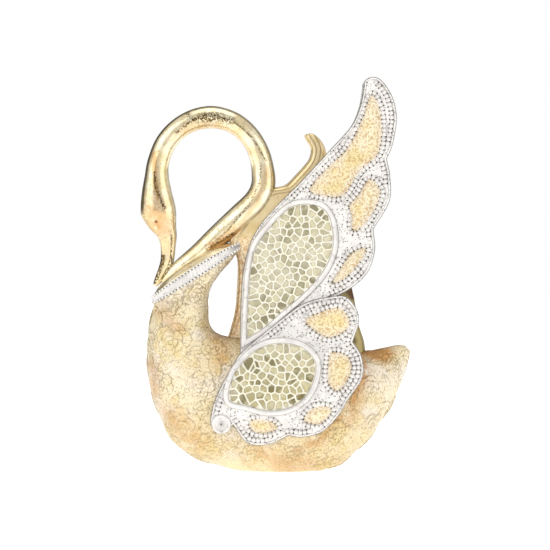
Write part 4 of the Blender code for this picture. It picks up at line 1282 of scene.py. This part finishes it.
def inside_outline(outline, x, y):
    """Whether each place lies within an outline."""
    found = np.zeros(np.shape(x), bool)
    for a, b in zip(outline, np.roll(outline, -1, 0)):
        crosses = (a[1] > y) != (b[1] > y)
        with np.errstate(divide="ignore", invalid="ignore"):
            found ^= crosses & (x < (b[0] - a[0]) * (y - a[1]) / (b[1] - a[1]) + a[0])
    return found


bead_rows = []
for cell_group, top in ((upper_cells, 0.0), (lower_cells, TIER_RISE)):
    bead_rows += [(offset_outline(cell, BEAD_GAP_FROM_CELL), top) for cell in cell_group]
for outline, top in ((upper_outline, 0.0), (lower_outline, TIER_RISE)):
    bead_rows.append((offset_outline(outline, -BEAD_INSET), top))
kept_places = []
shaded_gaps = []
for path, top in bead_rows:
    places = spaced(path, BEAD_PITCH)
    x, y = places[:, 0], places[:, 1]
    pocket = upper_pocket if top == 0.0 else lower_pocket
    keep = ~inside_outline(offset_outline(pocket, CLEAR_OF_POCKET), x, y)
    if top == 0.0:
        keep &= ~inside_outline(offset_outline(lower_outline, CLEAR_OF_LOWER_TIER), x, y)
    keep &= np.hypot(x - SCROLL_CENTRE[0], y - SCROLL_CENTRE[1]) > CLEAR_OF_SCROLL
    before = None
    for place, kept in zip(places, keep):
        others = [other for other, level in kept_places if level == top]
        if kept and all(np.hypot(*(place - other)) >= BEAD_PITCH * BEAD_CROWDING for other in others):
            kept_places.append((place, top))
            if before is not None:
                shaded_gaps.append((before, place, top))
            before = place
        else:
            before = None
bead_places = [np.array([*place, top - FIELD_DROP + BEAD_RADIUS * BEAD_LIFT]) for place, top in kept_places]
points, faces = scattered(bead_shape(BEAD_RADIUS), bead_places, [np.eye(3)] * len(kept_places))
beads_shape = bmesh.new()
bead_verts = [beads_shape.verts.new(point) for point in points]
for face in faces:
    beads_shape.faces.new([bead_verts[index] for index in face])
dot_draws = random.Random(MOSAIC_SEED)
for first, second, top in shaded_gaps:
    middle, way = (first + second) / 2, (second - first) / np.linalg.norm(second - first)
    across = np.array([-way[1], way[0]])
    for side in (-1, 1):
        if dot_draws.random() < DOTS_LEFT_OUT:
            continue
        dot = middle + across * side * DOT_OFFSET * dot_draws.uniform(*DOT_WANDER)
        corners = []
        for turn in turns(DOT_SIDES):
            reach = dot_draws.uniform(*DOT_RADIUS)
            corner = dot + (way * math.cos(turn) + across * math.sin(turn)) * reach
            corners.append(beads_shape.verts.new((*corner, top - FIELD_DROP + DOT_RISE)))
        beads_shape.faces.new(corners).material_index = 1
both_wings("wing_beads", finished(beads_shape, smooth_angle=80.0), "silver_frame", silver, dark_silver)


# Gold cells: the sunk field of each lobe, stippled all over and rubbed with pale gold. The gold is
# paler near the rim of the cell.
CELL_DOME = 0.75
CELL_DOME_FADE = 5.0
GOLD_DEPTH = 1.0
CELL_OVERLAP = 0.1
GRAIN_STEP = 0.62
GRAIN_HEIGHT = 0.34
STIPPLES = (
    # noise scale per millimetre, height in the noise, share of the grain's height
    (0.95, 3.0, 1.0),
    (0.4, 9.0, 0.6),
)
GOLD_LAYERS = (
    ((238, 227, 197), None, (60, 3, 0.5, 0.38, 0.64)),
    ((234, 222, 198), "rim", 1.0),
    ((192, 154, 96), None, (750, 3, 0.6, 0.48, 0.6, 0, 0.75)),
)
GOLD_RIM = (4.5, 0.5)


def edge_distance(outline, x, y):
    """The distance of each place to an outline."""
    nearest = np.full(np.shape(x), 1e9)
    for a, b in zip(outline, np.roll(outline, -1, 0)):
        way = b - a
        share = np.clip(((x - a[0]) * way[0] + (y - a[1]) * way[1]) / (way @ way), 0, 1)
        nearest = np.minimum(nearest, np.hypot(x - a[0] - share * way[0], y - a[1] - share * way[1]))
    return nearest


cells_shape = bmesh.new()
cells_shape.verts.layers.float.new("from_rim")
for cell_group, top in ((upper_cells, 0.0), (lower_cells, TIER_RISE)):
    for cell in cell_group:
        one = bmesh.new()
        rim_layer = one.verts.layers.float.new("from_rim")
        edge = [one.verts.new((*point, 0)) for point in offset_outline(cell, CELL_OVERLAP)]
        fill_between(one, [edge])
        cut_grid(one, GRAIN_STEP)
        flat = np.array([vertex.co for vertex in one.verts])
        to_edge = edge_distance(cell, flat[:, 0], flat[:, 1])
        dome = top - GOLD_DEPTH + CELL_DOME * soft_step(to_edge / CELL_DOME_FADE)
        for vertex, level, distance in zip(one.verts, dome, to_edge):
            vertex[rim_layer] = distance
            x, y = vertex.co.xy
            vertex.co.z = level
            for scale, z, share in STIPPLES:
                vertex.co.z += GRAIN_HEIGHT * share * noise.noise(Vector((x * scale, y * scale, z)))
        part = bpy.data.meshes.new("cell")
        one.to_mesh(part)
        one.free()
        cells_shape.from_mesh(part)
        bpy.data.meshes.remove(part)
rough_gold = new_finish("stippled_gold", Roughness=0.5, Metallic=0.3)
rim = step_between(rough_gold, stored(rough_gold, "from_rim"), *GOLD_RIM)
into_shader(
    rough_gold,
    Base_Color=layered(rough_gold, colour(230, 213, 160), GOLD_LAYERS, rim=rim),
    Normal=grained(rough_gold, scale=900, detail=2, depth=0.25, strength=0.7),
)
both_wings("gold_cells", finished(cells_shape, smooth_angle=180.0), "gold_leaf", rough_gold)


# Mosaics: each wing's two panels of crackled glass, chips laid by hand in a bed of cream grout and
# set into the pockets inside the smooth frames. Each chip is tinted by a number of its own.
CHIP_SPACING = 4.7
CHIP_JITTER = 0.36
CHIP_MARGIN = 0.9
SMALLEST_CHIP = 0.9
GROUT_LINE = 1.1
CHIP_RISE = 0.55
CHIP_UNEVENNESS = 0.06
CHIP_BEVEL = 0.28
CHIP_BEVEL_DROP = 0.22
CHIP_ROOT = 0.2
CHIP_TILT = 0.045
BED_BELOW_PLATE = 0.95
BED_OVERLAP = 0.05
PANEL_MARGIN = 0.55
NEIGHBOUR_SPACINGS = 3
TRIM_STEPS = 25
SMALLEST_SCALE = 0.2
SMALLEST_SPREAD = 0.3
DARK_EDGE_SHARE = 0.4
DARK_EDGE_WIDTH = 0.8
DARK_EDGE_TINT = -0.25
GLASS_LAYERS = (
    ((222, 214, 180), None, (240, 3, 0.5, 0.46, 0.66, 0, 0.45)),
    ((222, 214, 190), None, (42, 2, 0.5, 0.5, 0.66, 0, 0.6)),
    ((150, 128, 84), None, (520, 3, 0.6, 0.54, 0.66, 0, 0.4)),
    ((100, 96, 66), "chip_edge", 0.6),
)
DARK_GLASS_HEIGHTS = (0.075, 0.045)  # metres
GROUT_LAYERS = (((246, 240, 214), None, (400, 2, 0.5, 0.35, 0.65)),)


def clipped(polygon, point, normal):
    """The part of a polygon behind a line."""
    kept = []
    for start, end in zip(polygon, polygon[1:] + polygon[:1]):
        a, b = (start - point) @ normal, (end - point) @ normal
        if a <= 0:
            kept.append(start)
        if a * b < 0:
            kept.append(start + (end - start) * a / (a - b))
    return kept


def chip_outlines(outline, draws):
    """Irregular chips: each is the area nearest to its own centre, less half a grout line."""
    low, high = outline.min(0), outline.max(0)
    row_step = CHIP_SPACING * math.sqrt(3) / 2
    centres = []
    for row in range(int((high[1] - low[1]) / row_step) + 2):
        for column in range(int((high[0] - low[0]) / CHIP_SPACING) + 2):
            shift = CHIP_SPACING / 2 * (row % 2)
            wander = np.array([draws.uniform(-1, 1), draws.uniform(-1, 1)]) * CHIP_SPACING * CHIP_JITTER
            place = np.array([low[0] + column * CHIP_SPACING - shift, low[1] + row * row_step]) + wander
            centres.append(place)
    centres = np.array(centres)
    centres = centres[inside_outline(offset_outline(outline, -CHIP_MARGIN), centres[:, 0], centres[:, 1])]
    chips = []
    for centre in centres:
        chip = [centre + np.array(corner) * CHIP_SPACING for corner in ((-1, -1), (1, -1), (1, 1), (-1, 1))]
        away = centres - centre
        distance = np.hypot(away[:, 0], away[:, 1])
        for index in np.flatnonzero((distance > 0) & (distance < NEIGHBOUR_SPACINGS * CHIP_SPACING)):
            normal = away[index] / distance[index]
            chip = clipped(chip, centre + away[index] / 2 - normal * GROUT_LINE / 2, normal)
            if len(chip) < 3:
                break
        if len(chip) > 2:
            chips.append(np.array(chip))
    return chips


def trimmed(chip, outline, centre):
    """A chip with what lies beyond the panel's edge drawn back to it."""
    dense = np.vstack([np.linspace(a, b, 3, endpoint=False) for a, b in zip(chip, np.roll(chip, -1, 0))])
    outer = ~inside_outline(outline, dense[:, 0], dense[:, 1])
    if not outer.any():
        return chip
    for index in np.flatnonzero(outer):
        line = centre + (dense[index] - centre) * np.linspace(0, 1, TRIM_STEPS)[:, None]
        within = inside_outline(outline, line[:, 0], line[:, 1])
        dense[index] = line[max(0, np.argmin(within) - 1)]
    return dense


def mosaic(pocket, top, draws):
    """The bed and the chips of one panel."""
    shape = bmesh.new()
    tint_layer = shape.verts.layers.float.new("chip_tint")
    edge_layer = shape.verts.layers.float.new("chip_edge")
    bed_out = top - BED_BELOW_PLATE
    edge = [shape.verts.new((*point, bed_out)) for point in offset_outline(pocket, BED_OVERLAP)]
    fill_between(shape, [edge])
    cut_grid(shape, GRID_STEP)
    for face in shape.faces:
        face.material_index = 1
    panel = offset_outline(pocket, -PANEL_MARGIN)
    for chip in chip_outlines(pocket, draws):
        chip = trimmed(chip, panel, chip.mean(0))
        centre = chip.mean(0)
        spread = np.linalg.norm(chip - centre, axis=1)
        if spread.max() < SMALLEST_CHIP:
            continue
        tilt = np.array([draws.uniform(-1, 1), draws.uniform(-1, 1)]) * CHIP_TILT
        rise = bed_out + CHIP_RISE + draws.uniform(-CHIP_UNEVENNESS, CHIP_UNEVENNESS)
        tint = draws.random()
        at_edge = edge_distance(pocket, *centre[:, None]).min() < CHIP_SPACING * DARK_EDGE_WIDTH
        if tint < DARK_EDGE_SHARE and at_edge:
            tint = DARK_EDGE_TINT
        rows = []
        for inset, level in ((0.0, bed_out - CHIP_ROOT), (0.0, rise - CHIP_BEVEL_DROP), (CHIP_BEVEL, rise)):
            scale = np.maximum(SMALLEST_SCALE, 1 - inset / np.maximum(spread, SMALLEST_SPREAD))[:, None]
            ring = centre + (chip - centre) * scale
            row = []
            for point in ring:
                lean = (point - centre) @ tilt if level > bed_out else 0
                vertex = shape.verts.new((*point, level + lean))
                vertex[tint_layer] = tint
                vertex[edge_layer] = 0.0 if inset else 1.0
                row.append(vertex)
            rows.append(row)
        join_rows(shape, rows)
        shape.faces.new(rows[-1])
    return finished(shape, smooth_angle=20.0)


glass = new_finish(
    "crackled_glass", Roughness=0.22, Specular_IOR_Level=0.5, Coat_Weight=0.2, Coat_Roughness=0.08
)
tint = stored(glass, "chip_tint")
pale_chip = mixed(glass, tint, colour(130, 122, 88), colour(206, 197, 162))
dark_chip = mixed(glass, tint, colour(116, 106, 62), colour(190, 180, 134))
low_down = step_between(glass, place_in(glass)["Z"], *DARK_GLASS_HEIGHTS)
into_shader(
    glass,
    Base_Color=layered(glass, mixed(glass, low_down, pale_chip, dark_chip), GLASS_LAYERS),
    Normal=grained(glass, scale=180, detail=2, depth=0.15, strength=0.5),
)
grout = new_finish("cream_grout", Roughness=0.8)
into_shader(
    grout,
    Base_Color=layered(grout, colour(254, 251, 238), GROUT_LAYERS),
    Normal=grained(grout, scale=1400, detail=2, depth=0.1),
)
chip_draws = random.Random(MOSAIC_SEED)
both_wings("upper_mosaic", mosaic(upper_pocket, 0.0, chip_draws), "mosaic_glass", glass, grout)
both_wings("lower_mosaic", mosaic(lower_pocket, TIER_RISE, chip_draws), "mosaic_glass", glass, grout)

clear_selection()
